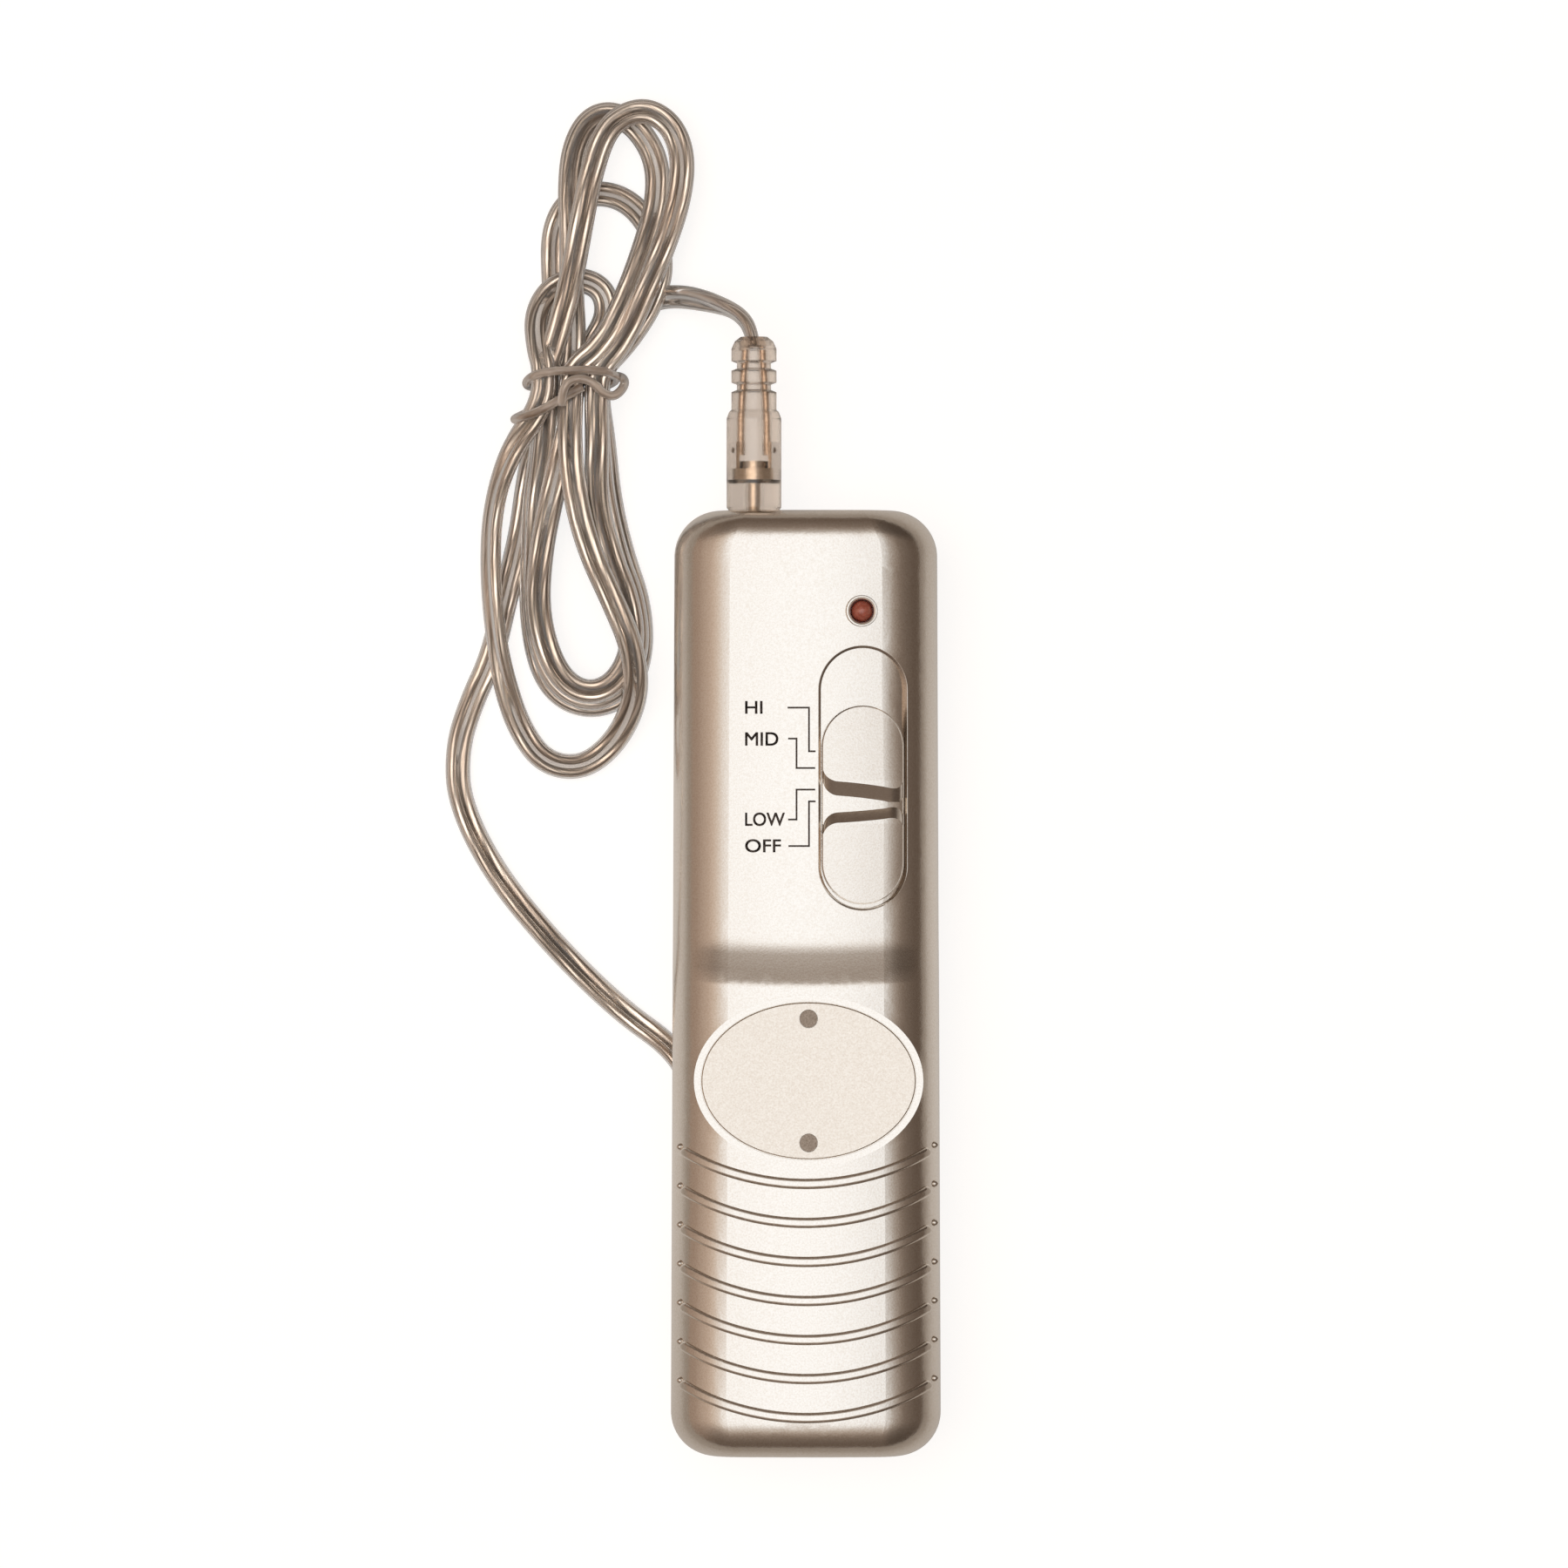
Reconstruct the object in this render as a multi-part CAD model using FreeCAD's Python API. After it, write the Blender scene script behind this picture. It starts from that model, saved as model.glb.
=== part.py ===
import FreeCAD, Part
import math
import os

from FreeCAD import Vector

# Corded speed controller of a handheld massager: a two-shell hand piece for two AA cells, with a
# slide switch, a lamp, a badge plate, a jack in its top end and a tied lead plugged into it.
# Row frame, millimetres: the hand piece lies on its back, its face up (+Z), its jack end to +Y.

# ---- driving dimensions: case -------------------------------------------------------------
CASE_LENGTH = 127.3
CASE_WIDTH_TOP = 35.4
CASE_WIDTH_BOTTOM = 36.4
GRIP_THICKNESS = 24.0        # lower half, from back to crown
WAIST_STEP = 1.6             # how much lower the upper half lies
WALL = 1.8
PARTING_Z = 13.0
CROWN_RADIUS = 110.0         # face, across
SIDE_ROLL_RADIUS = 8.3       # face to side
BACK_ROLL_RADIUS = 13.0      # side to back
REST_PLANE = 0.02            # planed off the back, so that it rests on one true plane
TOP_CORNER_RADIUS = 6.2      # plan corners at the jack end
BOTTOM_CORNER_RADIUS = 6.0
TOP_EDGE_RADIUS = 3.8        # face to jack end
BOTTOM_EDGE_RADIUS = 5.0
BACK_EDGE_RADIUS = 3.5       # back to both ends
LOFT_DEGREE = 2              # keeps the skin level where it meets the straight body
WAIST_TOP_Y = 7.6            # where the ramp of the waist starts
WAIST_LENGTH = 7.3
WAIST_SOFT = 3.0             # length of its soft start
WAIST_CRISP = 0.8            # length of its crisp end
WAIST_SMILE = 0.9            # how far its middle hangs below its ends
SHADOW_GAP = 0.2             # fine groove along the parting line
SHADOW_DEPTH = 0.5
LIP_HEIGHT = 1.0
LIP_CLEARANCE = 0.08
LIP_STEP = 0.1               # how far the lip stands inside the wall
RUNNING = 0.05               # radial running clearance
SEAT_GAP = 0.1               # clearance of pieces that only rest beside each other

# ---- driving dimensions: grip beads ---------------------------------------------------------
BEAD_COUNT = 7
BEAD_PITCH = 5.22
BEAD_FIRST_Y = -26.7
BEAD_PLAN_RADIUS = 34.0
BEAD_HALF_WIDTH = 0.7
BEAD_HEIGHT = 0.45
BEAD_ROUNDING = 0.4
BEAD_END_INSET = 1.2

# ---- driving dimensions: badge --------------------------------------------------------------
BADGE_X = 0.35
BADGE_Y = -12.9
BADGE_RX = 14.35
BADGE_RY = 10.5
BADGE_RIM = 1.0
BADGE_GAP = 0.15
BADGE_THICKNESS = 0.9
BADGE_PROUD = 0.1
BADGE_PIN_RADIUS = 1.2
BADGE_PIN_SHANK = 0.7
BADGE_PIN_SPAN = 16.6

# ---- driving dimensions: slide switch -------------------------------------------------------
SLOT_X = 7.64
SLOT_WIDTH = 12.0
SLOT_LENGTH = 35.6
SLOT_Y = 27.6
SLOT_DEPTH = 0.8
KNOB_WIDTH = 10.7
KNOB_LENGTH = 26.3
KNOB_Y = 24.0                # centre at OFF
KNOB_TRAVEL = 6.8            # OFF to HI
KNOB_FLOAT = 0.12            # clearance over the slot's floor
KNOB_CREST = 1.0             # height of both crests over the face
KNOB_END = 0.12              # height of its ends over the face
KNOB_VALLEY = -0.1           # height of the thumb valley
VALLEY_TOP_Y = 25.4          # valley floor, from
VALLEY_BOTTOM_Y = 22.9       # to
UPPER_WALL_RUN = 1.9         # plan width of the valley's two walls
LOWER_WALL_RUN = 1.4
HUMP_CORNER = 2.0
STEM_WIDTH = 5.0
STEM_LENGTH = 6.5
STEM_SLOT_CLEARANCE = 0.2
RETAINER_WIDTH = 8.0
RETAINER_LENGTH = 14.0
RETAINER_THICKNESS = 0.75
SWITCH_WIDTH = 7.0
SWITCH_LENGTH = 18.0
SWITCH_HEIGHT = 4.5
SWITCH_SHEET = 0.35
ACTUATOR_SIZE = 3.0
TERMINAL_COUNT = 5

# ---- driving dimensions: lamp, board, screws --------------------------------------------------
LAMP_X = 7.5
LAMP_Y = 50.0
LAMP_RADIUS = 1.5
LAMP_HOLE_RADIUS = 1.75
LAMP_FLANGE_RADIUS = 1.95
BOARD_TOP_Z = 13.8
BOARD_THICKNESS = 1.6
BOARD_HALF_WIDTH = 14.9
BOARD_Y0 = 8.0
BOARD_Y1 = 56.5
BOARD_NOTCH_X = 0.6          # the board stops here beside the jack
BOARD_NOTCH_Y = 47.6
CASE_SCREW_X = 11.0
CASE_SCREW_YS = (3.0, 42.6)
CASE_SCREW_RADIUS = 1.1
CASE_SCREW_HEAD_RADIUS = 2.1
CASE_SCREW_HEAD_HEIGHT = 1.5
CASE_SCREW_SEAT_Z = 5.2
CASE_SCREW_LENGTH = 11.0
BOSS_RADIUS = 2.6
BOSS_FOOT_RADIUS = 3.2
BOSS_JOINT_Z = 8.4
BOARD_SCREWS = ((-11.0, 15.0), (-11.0, 34.0))
BOARD_SCREW_RADIUS = 0.9
BOARD_SCREW_HEAD_RADIUS = 1.8
BOARD_SCREW_LENGTH = 5.0

# ---- driving dimensions: battery bay ----------------------------------------------------------
CELL_RADIUS = 7.25
CELL_CAN = 49.2
CELL_NUB_RADIUS = 2.75
CELL_NUB = 1.3
CELL_X = 7.4
CELL_Z = 10.4
BAY_TOP_Y = -3.2
BAY_LENGTH = 56.1
BAY_HALF_WIDTH = 14.9
BAY_WALL = 1.0
BAY_END_WALL = 1.2
BAY_CORNER = 6.4
BAY_FOOT_HALF_WIDTH = 8.4    # end walls below the tub's rim
BAY_FOOT_Z = 3.2
TUB_GAP = 0.35               # clearance inside the shells' walls
CONTACT_THICKNESS = 0.4
SPRING_WIRE = 0.6
SPRING_BASE_RADIUS = 4.4
SPRING_TIP_RADIUS = 2.6
SPRING_TURNS = 3.5
TAIL_WIDTH = 2.0             # solder tail of a top contact, through the bay's end wall
TAIL_Z = 7.0
TAIL_REACH = 0.9             # beyond the wall
BATTERY_WIRE = 1.0
JACK_WIRE = 0.9
DOOR_HALF_WIDTH = 13.5
DOOR_TOP_Y = -2.0
DOOR_LIP_Z = 8.0
DOOR_CLEARANCE = 0.15
DOOR_TAB_WIDTH = 4.0
DOOR_TAB_REACH = 3.2
DOOR_TAB_THICKNESS = 1.0
DOOR_GRIP_RX = 6.5
DOOR_GRIP_RY = 4.5
DOOR_GRIP_DEPTH = 0.7
DOOR_GRIP_BARS = 4

# ---- driving dimensions: jack and lead ----------------------------------------------------------
JACK_X = -7.0
JACK_Z = PARTING_Z
JACK_WIDTH = 8.4
JACK_LENGTH = 12.0
JACK_NOSE_RADIUS = 2.9
PIN_RADIUS = 1.25
PIN_LENGTH = 11.0
PLUG_RADIUS = 3.7
PLUG_BARREL = 13.3
PLUG_FACE_GAP = 0.1
RELIEF_RADIUS = 3.05
RELIEF_LENGTH = 10.1
RELIEF_GROOVES = (3.3, 6.2)  # from the barrel's shoulder
FLEX_WIDTH = 3.4             # clear twin flex, across its two cores
CONNECTOR_RADIUS = 2.0
CONNECTOR_LENGTH = 15.0
CONNECTOR_PIN_RADIUS = 1.0
CONNECTOR_PIN = 6.0
HANK_HEIGHT = 8.0
TIE_Y = 81.2
TIE_X = -31.9
TIE_WIDTH = 10.6             # neck of the hank inside the tie
TIE_WIRE = 1.2
TIE_SPACING = 1.8
KNOT_RADIUS = 1.35

HALF = CASE_LENGTH / 2
TOP_THICKNESS = GRIP_THICKNESS - WAIST_STEP
BIG = 200.0


def save(name, shape):
    shape.exportStep(f"parts/{name}.step")
    kinds = len(shape.Solids)
    print(f"{name:20s} solids {kinds} volume {shape.Volume:10.2f} valid {shape.isValid()}")


def box(x0, x1, y0, y1, z0, z1):
    return Part.makeBox(x1 - x0, y1 - y0, z1 - z0, Vector(x0, y0, z0))


def rod(radius, x, y, z0, z1):
    return Part.makeCylinder(radius, z1 - z0, Vector(x, y, z0), Vector(0, 0, 1))


def rod_y(radius, x, z, y0, y1):
    return Part.makeCylinder(radius, y1 - y0, Vector(x, y0, z), Vector(0, 1, 0))


def fuse(shapes):
    shapes = list(shapes)
    return shapes[0].multiFuse(shapes[1:]) if len(shapes) > 1 else shapes[0]


def together(shapes):
    return Part.makeCompound(list(shapes))


def prism(wire, z0, z1):
    """Closed flat wire at z = 0, raised from z0 to z1."""
    face = Part.Face(wire)
    face.translate(Vector(0, 0, z0))
    return face.extrude(Vector(0, 0, z1 - z0))


# ---- case form --------------------------------------------------------------------------------
def half_width(y):
    share = (y + HALF) / CASE_LENGTH
    return (CASE_WIDTH_BOTTOM + (CASE_WIDTH_TOP - CASE_WIDTH_BOTTOM) * share) / 2


def rounding(distance, radius):
    """How far a quarter-round edge has dropped at a distance from its end."""
    if distance >= radius:
        return 0.0
    return radius - math.sqrt(max(0.0, radius**2 - (radius - distance) ** 2))


def section(half, thickness, inset, drop=0.0, rise=0.0):
    """Vectors and arcs of a case section in XZ, as a list of (kind, points) all round."""
    roll = SIDE_ROLL_RADIUS - inset - drop
    back = BACK_ROLL_RADIUS - inset - rise
    top = thickness - inset - drop
    low = inset + rise
    crown = CROWN_RADIUS - inset - drop
    roll_x = half - roll
    roll_z = top - crown + math.sqrt((crown - roll) ** 2 - roll_x**2)
    lean = math.asin(roll_x / (crown - roll))
    meet = (crown * math.sin(lean), top - crown + crown * math.cos(lean))
    mid = (math.pi / 2 - lean) / 2
    roll_mid = (roll_x + roll * math.cos(mid), roll_z + roll * math.sin(mid))
    diagonal = math.sqrt(0.5)
    back_mid = (half - back + back * diagonal, low + back - back * diagonal)

    def flip(point):
        return (-point[0], point[1])

    return [
        ("line", [(-(half - back), low), (half - back, low)]),
        ("arc", [(half - back, low), back_mid, (half, low + back)]),
        ("line", [(half, low + back), (half, roll_z)]),
        ("arc", [(half, roll_z), roll_mid, meet]),
        ("arc", [meet, (0.0, top), flip(meet)]),
        ("arc", [flip(meet), flip(roll_mid), (-half, roll_z)]),
        ("line", [(-half, roll_z), (-half, low + back)]),
        ("arc", [(-half, low + back), flip(back_mid), (-(half - back), low)]),
    ]


def flat_wire(pieces, y):
    edges = []
    for kind, points in pieces:
        at = [Vector(x, y, z) for x, z in points]
        edges.append(Part.Arc(*at).toShape() if kind == "arc" else Part.LineSegment(*at).toShape())
    return Part.Wire(edges)


def along(kind, points, share):
    """Point of a section piece at a share of its run."""
    if kind == "line":
        (x0, z0), (x1, z1) = points
        return x0 + (x1 - x0) * share, z0 + (z1 - z0) * share
    curve = Part.Arc(*[Vector(x, 0, z) for x, z in points])
    at = curve.value(curve.FirstParameter + (curve.LastParameter - curve.FirstParameter) * share)
    return at.x, at.z


def sagging_wire(pieces, y, half, sag, samples=9):
    """A section whose face part hangs towards -Y in its middle."""
    shares = [i / (samples - 1) for i in range(samples)]
    edges = []
    for kind, points in pieces:
        places = []
        for share in shares:
            x, z = along(kind, points, share)
            hang = sag * (1 - (x / half) ** 2) if z > PARTING_Z + 0.01 else 0.0
            places.append(Vector(x, y - hang, z))
        curve = Part.BSplineCurve()
        curve.interpolate(Points=places, Parameters=shares)
        edges.append(curve.toShape())
    return Part.Wire(edges)


def end_stations(sign, corner, edge, inset):
    """Y places and section sizes from the straight body to an end face."""
    end = HALF - inset
    corner -= inset
    edge -= inset
    back_edge = BACK_EDGE_RADIUS - inset
    stations = []
    distances = [corner + 1.5, corner + 0.8]
    for angle in (0, 8, 16, 24, 32, 40, 48, 56, 64, 72, 80, 85, 90):
        distances.append(corner * (1 - math.sin(math.radians(angle))))
    for distance in distances:
        y = sign * (end - distance)
        half = half_width(y) - inset - rounding(distance, corner)
        stations.append((y, half, rounding(distance, edge), rounding(distance, back_edge)))
    return stations


def end_solid(sign, corner, edge, thickness, inset):
    wires = [
        flat_wire(section(half, thickness, inset, drop, rise), y)
        for y, half, drop, rise in end_stations(sign, corner, edge, inset)
    ]
    return Part.makeLoft(wires, True, False, False, LOFT_DEGREE)


def straight_solid(y0, y1, thickness, inset):
    wires = [flat_wire(section(half_width(y) - inset, thickness, inset), y) for y in (y0, y1)]
    return Part.makeLoft(wires, True, True)


WAIST_FLAT_TOP = WAIST_TOP_Y + 1.2
WAIST_FLAT_BOTTOM = WAIST_TOP_Y - WAIST_LENGTH - 2.2


def waist_thickness(y):
    """Thickness down the ramp: a soft start, an even slope and a crisp end."""
    down = min(max(WAIST_TOP_Y - y, 0.0), WAIST_LENGTH)
    slope = WAIST_STEP / (WAIST_LENGTH - WAIST_SOFT / 2 - WAIST_CRISP / 2)
    left = WAIST_LENGTH - down
    if down < WAIST_SOFT:
        return TOP_THICKNESS + slope * down**2 / (2 * WAIST_SOFT)
    if left < WAIST_CRISP:
        return GRIP_THICKNESS - slope * left**2 / (2 * WAIST_CRISP)
    return TOP_THICKNESS + slope * (down - WAIST_SOFT / 2)


def waist_solid(inset):
    crisp = WAIST_TOP_Y - WAIST_LENGTH
    places = [WAIST_FLAT_TOP, WAIST_TOP_Y + 0.3]
    places += [WAIST_TOP_Y - share * (WAIST_LENGTH - WAIST_CRISP) for share in
               (0.12, 0.25, 0.38, 0.52, 0.68, 0.84, 1.0)]
    places += [crisp + WAIST_CRISP / 2, crisp, crisp - 0.5, WAIST_FLAT_BOTTOM]
    wires = []
    for y in places:
        half = half_width(y) - inset
        pieces = section(half, waist_thickness(y), inset)
        if y in (places[0], places[-1]):
            wires.append(flat_wire(pieces, y))
        else:
            wires.append(sagging_wire(pieces, y, half, WAIST_SMILE))
    return Part.makeLoft(wires, True, False, False, LOFT_DEGREE)


def envelope(inset):
    """The case's outer form, moved in by inset everywhere."""
    top = end_solid(1, TOP_CORNER_RADIUS, TOP_EDGE_RADIUS, TOP_THICKNESS, inset)
    bottom = end_solid(-1, BOTTOM_CORNER_RADIUS, BOTTOM_EDGE_RADIUS, GRIP_THICKNESS, inset)
    top_y = top.BoundBox.YMin
    bottom_y = bottom.BoundBox.YMax
    upper = straight_solid(WAIST_FLAT_TOP, top_y, TOP_THICKNESS, inset)
    lower = straight_solid(bottom_y, WAIST_FLAT_BOTTOM, GRIP_THICKNESS, inset)
    return fuse([top, upper, waist_solid(inset), lower, bottom])


def upper_body(inset_low, inset_high=None, y0=None, y1=None):
    """Straight stretch of the upper half, whose face may rise from one inset to another."""
    y0 = WAIST_FLAT_TOP if y0 is None else y0
    y1 = HALF - TOP_CORNER_RADIUS if y1 is None else y1
    inset_high = inset_low if inset_high is None else inset_high
    wires = [
        flat_wire(section(half_width(y) - inset, TOP_THICKNESS, inset), y)
        for y, inset in ((y0, inset_low), (y1, inset_high))
    ]
    return Part.makeLoft(wires, True, True)


def face_z(x, y, inset=0.0):
    """Height of the face of the grip half or the upper half over a point in plan."""
    half = half_width(y) - inset
    thickness = waist_thickness(y)
    roll = SIDE_ROLL_RADIUS - inset
    crown = CROWN_RADIUS - inset
    top = thickness - inset
    roll_x = half - roll
    roll_z = top - crown + math.sqrt((crown - roll) ** 2 - roll_x**2)
    meet = crown * roll_x / (crown - roll)
    if abs(x) <= meet:
        return top - crown + math.sqrt(crown**2 - x**2)
    return roll_z + math.sqrt(max(0.0, roll**2 - (abs(x) - roll_x) ** 2))


def plan_wire(inset):
    """Outline of the case at its parting plane."""
    top = TOP_CORNER_RADIUS - inset
    bottom = BOTTOM_CORNER_RADIUS - inset
    y1 = HALF - inset
    y0 = -y1
    w1 = half_width(y1 - top) - inset
    w0 = half_width(y0 + bottom) - inset
    bend = 1 - math.sqrt(0.5)

    def corner(a, b, c):
        return Part.Arc(Vector(*a, 0), Vector(*b, 0), Vector(*c, 0)).toShape()

    def line(a, b):
        return Part.LineSegment(Vector(*a, 0), Vector(*b, 0)).toShape()

    return Part.Wire([
        line((-(w1 - top), y1), (w1 - top, y1)),
        corner((w1 - top, y1), (w1 - top * bend, y1 - top * bend), (w1, y1 - top)),
        line((w1, y1 - top), (w0, y0 + bottom)),
        corner((w0, y0 + bottom), (w0 - bottom * bend, y0 + bottom * bend), (w0 - bottom, y0)),
        line((w0 - bottom, y0), (-(w0 - bottom), y0)),
        corner((-(w0 - bottom), y0), (-(w0 - bottom * bend), y0 + bottom * bend),
               (-w0, y0 + bottom)),
        line((-w0, y0 + bottom), (-w1, y1 - top)),
        corner((-w1, y1 - top), (-(w1 - top * bend), y1 - top * bend), (-(w1 - top), y1)),
    ])


def plan_ring(outer, inner, z0, z1):
    return prism(plan_wire(outer), z0, z1).cut(prism(plan_wire(inner), z0 - 1, z1 + 1))


# ---- grip beads ---------------------------------------------------------------------------------
def bead_plan(index, half_width_here):
    """Closed plan outline of a bead: two concentric arcs joined by round ends."""
    lowest = BEAD_FIRST_Y - index * BEAD_PITCH
    middle = Vector(0, lowest + BEAD_PLAN_RADIUS, 0)
    reach = half_width(lowest) - BEAD_END_INSET - BEAD_HALF_WIDTH
    swing = math.asin(reach / BEAD_PLAN_RADIUS)

    def at(radius, angle, ahead=0.0):
        out = Vector(math.sin(angle), -math.cos(angle), 0)
        on = Vector(math.cos(angle), math.sin(angle), 0)
        return middle + out * radius + on * ahead

    low, high = BEAD_PLAN_RADIUS + half_width_here, BEAD_PLAN_RADIUS - half_width_here
    return Part.Wire([
        Part.Arc(at(low, -swing), at(low, 0), at(low, swing)).toShape(),
        Part.Arc(at(low, swing), at(BEAD_PLAN_RADIUS, swing, half_width_here),
                 at(high, swing)).toShape(),
        Part.Arc(at(high, swing), at(high, 0), at(high, -swing)).toShape(),
        Part.Arc(at(high, -swing), at(BEAD_PLAN_RADIUS, -swing, -half_width_here),
                 at(low, -swing)).toShape(),
    ])


def bead_form(y0, y1):
    """The grip's face raised by the bead height, as one smooth surface over a plain block."""
    low = PARTING_Z + 2
    wires = []
    for y in (y0, y1):
        half = half_width(y) + BEAD_HEIGHT
        places = []
        for kind, points in section(half, GRIP_THICKNESS, -BEAD_HEIGHT)[3:6]:
            for step in range(8):
                x, z = along(kind, points, step / 8)
                places.append(Vector(x, y, z))
        places.append(Vector(-places[0].x, y, places[0].z))
        curve = Part.BSplineCurve()
        curve.interpolate(Points=places)
        right, left = places[0], places[-1]
        right_low, left_low = Vector(right.x, y, low), Vector(left.x, y, low)
        wires.append(Part.Wire([curve.toShape(), Part.LineSegment(left, left_low).toShape(),
                                Part.LineSegment(left_low, right_low).toShape(),
                                Part.LineSegment(right_low, right).toShape()]))
    return Part.makeLoft(wires, True, True)


def bead(index, raised):
    """One low bead of the grip: a curved band of the face, raised and rounded over."""
    solid = prism(bead_plan(index, BEAD_HALF_WIDTH), PARTING_Z + 3, BIG).common(raised)
    top = [e for e in solid.Edges if e.BoundBox.ZMin > PARTING_Z + 3.01
           and not (e.BoundBox.XLength < 0.01 and e.BoundBox.YLength < 0.01)]
    return solid.makeFillet(BEAD_ROUNDING, top)


# ---- badge ----------------------------------------------------------------------------------------
def ellipse_prism(rx, ry, z0, z1):
    curve = Part.Ellipse(Vector(BADGE_X, BADGE_Y, 0), rx, ry)
    return prism(Part.Wire([curve.toShape()]), z0, z1)


BADGE_SEAT_Z = GRIP_THICKNESS + BADGE_PROUD - BADGE_THICKNESS
BADGE_TOP_Z = GRIP_THICKNESS + BADGE_PROUD


def badge_pin_places():
    return [(BADGE_X, BADGE_Y + side * BADGE_PIN_SPAN / 2) for side in (1, -1)]


def badge_plate():
    plate = ellipse_prism(BADGE_RX, BADGE_RY, BADGE_SEAT_Z, BADGE_TOP_Z)
    edge = [e for e in plate.Edges if e.BoundBox.ZMin > BADGE_TOP_Z - 0.01]
    plate = plate.makeChamfer(0.15, edge)
    for x, y in badge_pin_places():
        plate = plate.cut(rod(BADGE_PIN_RADIUS + RUNNING, x, y, 0, BIG))
    return plate


def badge_pins():
    pins = []
    for x, y in badge_pin_places():
        head = rod(BADGE_PIN_RADIUS, x, y, BADGE_SEAT_Z, BADGE_TOP_Z - 0.15)
        shank = rod(BADGE_PIN_SHANK, x, y, GRIP_THICKNESS - WALL - 1.2, BADGE_SEAT_Z)
        pins.append(head.fuse(shank).removeSplitter())
    return together(pins)


# ---- slide switch ------------------------------------------------------------------------------------
def oblong_wire(x, y, width, length):
    r = width / 2
    straight = length / 2 - r
    left_top, right_top = Vector(x - r, y + straight, 0), Vector(x + r, y + straight, 0)
    left_low, right_low = Vector(x - r, y - straight, 0), Vector(x + r, y - straight, 0)
    return Part.Wire([
        Part.Arc(left_top, Vector(x, y + length / 2, 0), right_top).toShape(),
        Part.LineSegment(right_top, right_low).toShape(),
        Part.Arc(right_low, Vector(x, y - length / 2, 0), left_low).toShape(),
        Part.LineSegment(left_low, left_top).toShape(),
    ])


def hump_wire(side, inner_y, corner, z):
    """Plan of one hump: the knob's round end, and a square inner end with round corners."""
    r = KNOB_WIDTH / 2
    round_y = KNOB_Y + side * (KNOB_LENGTH / 2 - r)
    tip_y = KNOB_Y + side * KNOB_LENGTH / 2
    bend = corner * (1 - math.sqrt(0.5))
    left, right = SLOT_X - r, SLOT_X + r

    def at(x, y):
        return Vector(x, y, z)

    inner = inner_y + side * corner
    turn = inner_y + side * bend
    return Part.Wire([
        Part.Arc(at(left, round_y), at(SLOT_X, tip_y), at(right, round_y)).toShape(),
        Part.LineSegment(at(right, round_y), at(right, inner)).toShape(),
        Part.Arc(at(right, inner), at(right - bend, turn), at(right - corner, inner_y)).toShape(),
        Part.LineSegment(at(right - corner, inner_y), at(left + corner, inner_y)).toShape(),
        Part.Arc(at(left + corner, inner_y), at(left + bend, turn), at(left, inner)).toShape(),
        Part.LineSegment(at(left, inner), at(left, round_y)).toShape(),
    ])


def hump(side, inner_y, run):
    """A ramp from the knob's end up to its crest, with a leaning wall down to the valley."""
    floor = TOP_THICKNESS + KNOB_VALLEY
    crest = TOP_THICKNESS + KNOB_CREST
    lean = run / (crest - floor)
    low, high = floor - 3.0, crest + 1.5
    wires = [
        hump_wire(side, inner_y + side * lean * (z - floor), HUMP_CORNER, z)
        for z in (low, high)
    ]
    block = Part.makeLoft(wires, True, True)
    crest_y = inner_y + side * run
    tip_y = KNOB_Y + side * KNOB_LENGTH / 2
    ends = sorted([(crest_y, -KNOB_CREST), (tip_y, -KNOB_END)])
    ramp = upper_body(ends[0][1], ends[1][1], ends[0][0], ends[1][0])
    beyond = sorted([crest_y, inner_y - side * 1.0])
    flat = upper_body(-KNOB_CREST, -KNOB_CREST, beyond[0], beyond[1])
    return block.common(ramp.fuse(flat))


RETAINER_TOP_Z = TOP_THICKNESS - WALL - 1.0
SWITCH_TOP_Z = BOARD_TOP_Z + SWITCH_HEIGHT
SWITCH_Y = KNOB_Y + KNOB_TRAVEL / 2
ACTUATOR_TOP_Z = RETAINER_TOP_Z + 0.35


def stem_box(extra=0.0, travel=0.0):
    half_x = STEM_WIDTH / 2 + extra
    half_y = STEM_LENGTH / 2 + extra
    return (SLOT_X - half_x, SLOT_X + half_x, KNOB_Y - half_y, KNOB_Y + half_y + travel)


def slider_knob():
    under = upper_body(SLOT_DEPTH - KNOB_FLOAT)
    base = prism(oblong_wire(SLOT_X, KNOB_Y, KNOB_WIDTH, KNOB_LENGTH), PARTING_Z + 2, BIG)
    base = base.common(upper_body(-KNOB_VALLEY))
    knob = fuse([base, hump(1, VALLEY_TOP_Y, UPPER_WALL_RUN),
                 hump(-1, VALLEY_BOTTOM_Y, LOWER_WALL_RUN)]).cut(under)
    x0, x1, y0, y1 = stem_box()
    stem = box(x0, x1, y0, y1, RETAINER_TOP_Z - RETAINER_THICKNESS, TOP_THICKNESS - SLOT_DEPTH)
    half = ACTUATOR_SIZE / 2 + RUNNING
    pocket = box(SLOT_X - half, SLOT_X + half, KNOB_Y - half, KNOB_Y + half, 0,
                 ACTUATOR_TOP_Z + SEAT_GAP)
    return knob.fuse(stem).cut(pocket).removeSplitter()


def slider_retainer():
    low = RETAINER_TOP_Z - RETAINER_THICKNESS
    half_x, half_y = RETAINER_WIDTH / 2, RETAINER_LENGTH / 2
    plate = box(SLOT_X - half_x, SLOT_X + half_x, KNOB_Y - half_y, KNOB_Y + half_y, low,
                RETAINER_TOP_Z)
    x0, x1, y0, y1 = stem_box()
    return plate.cut(box(x0, x1, y0, y1, 0, BIG))


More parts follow.
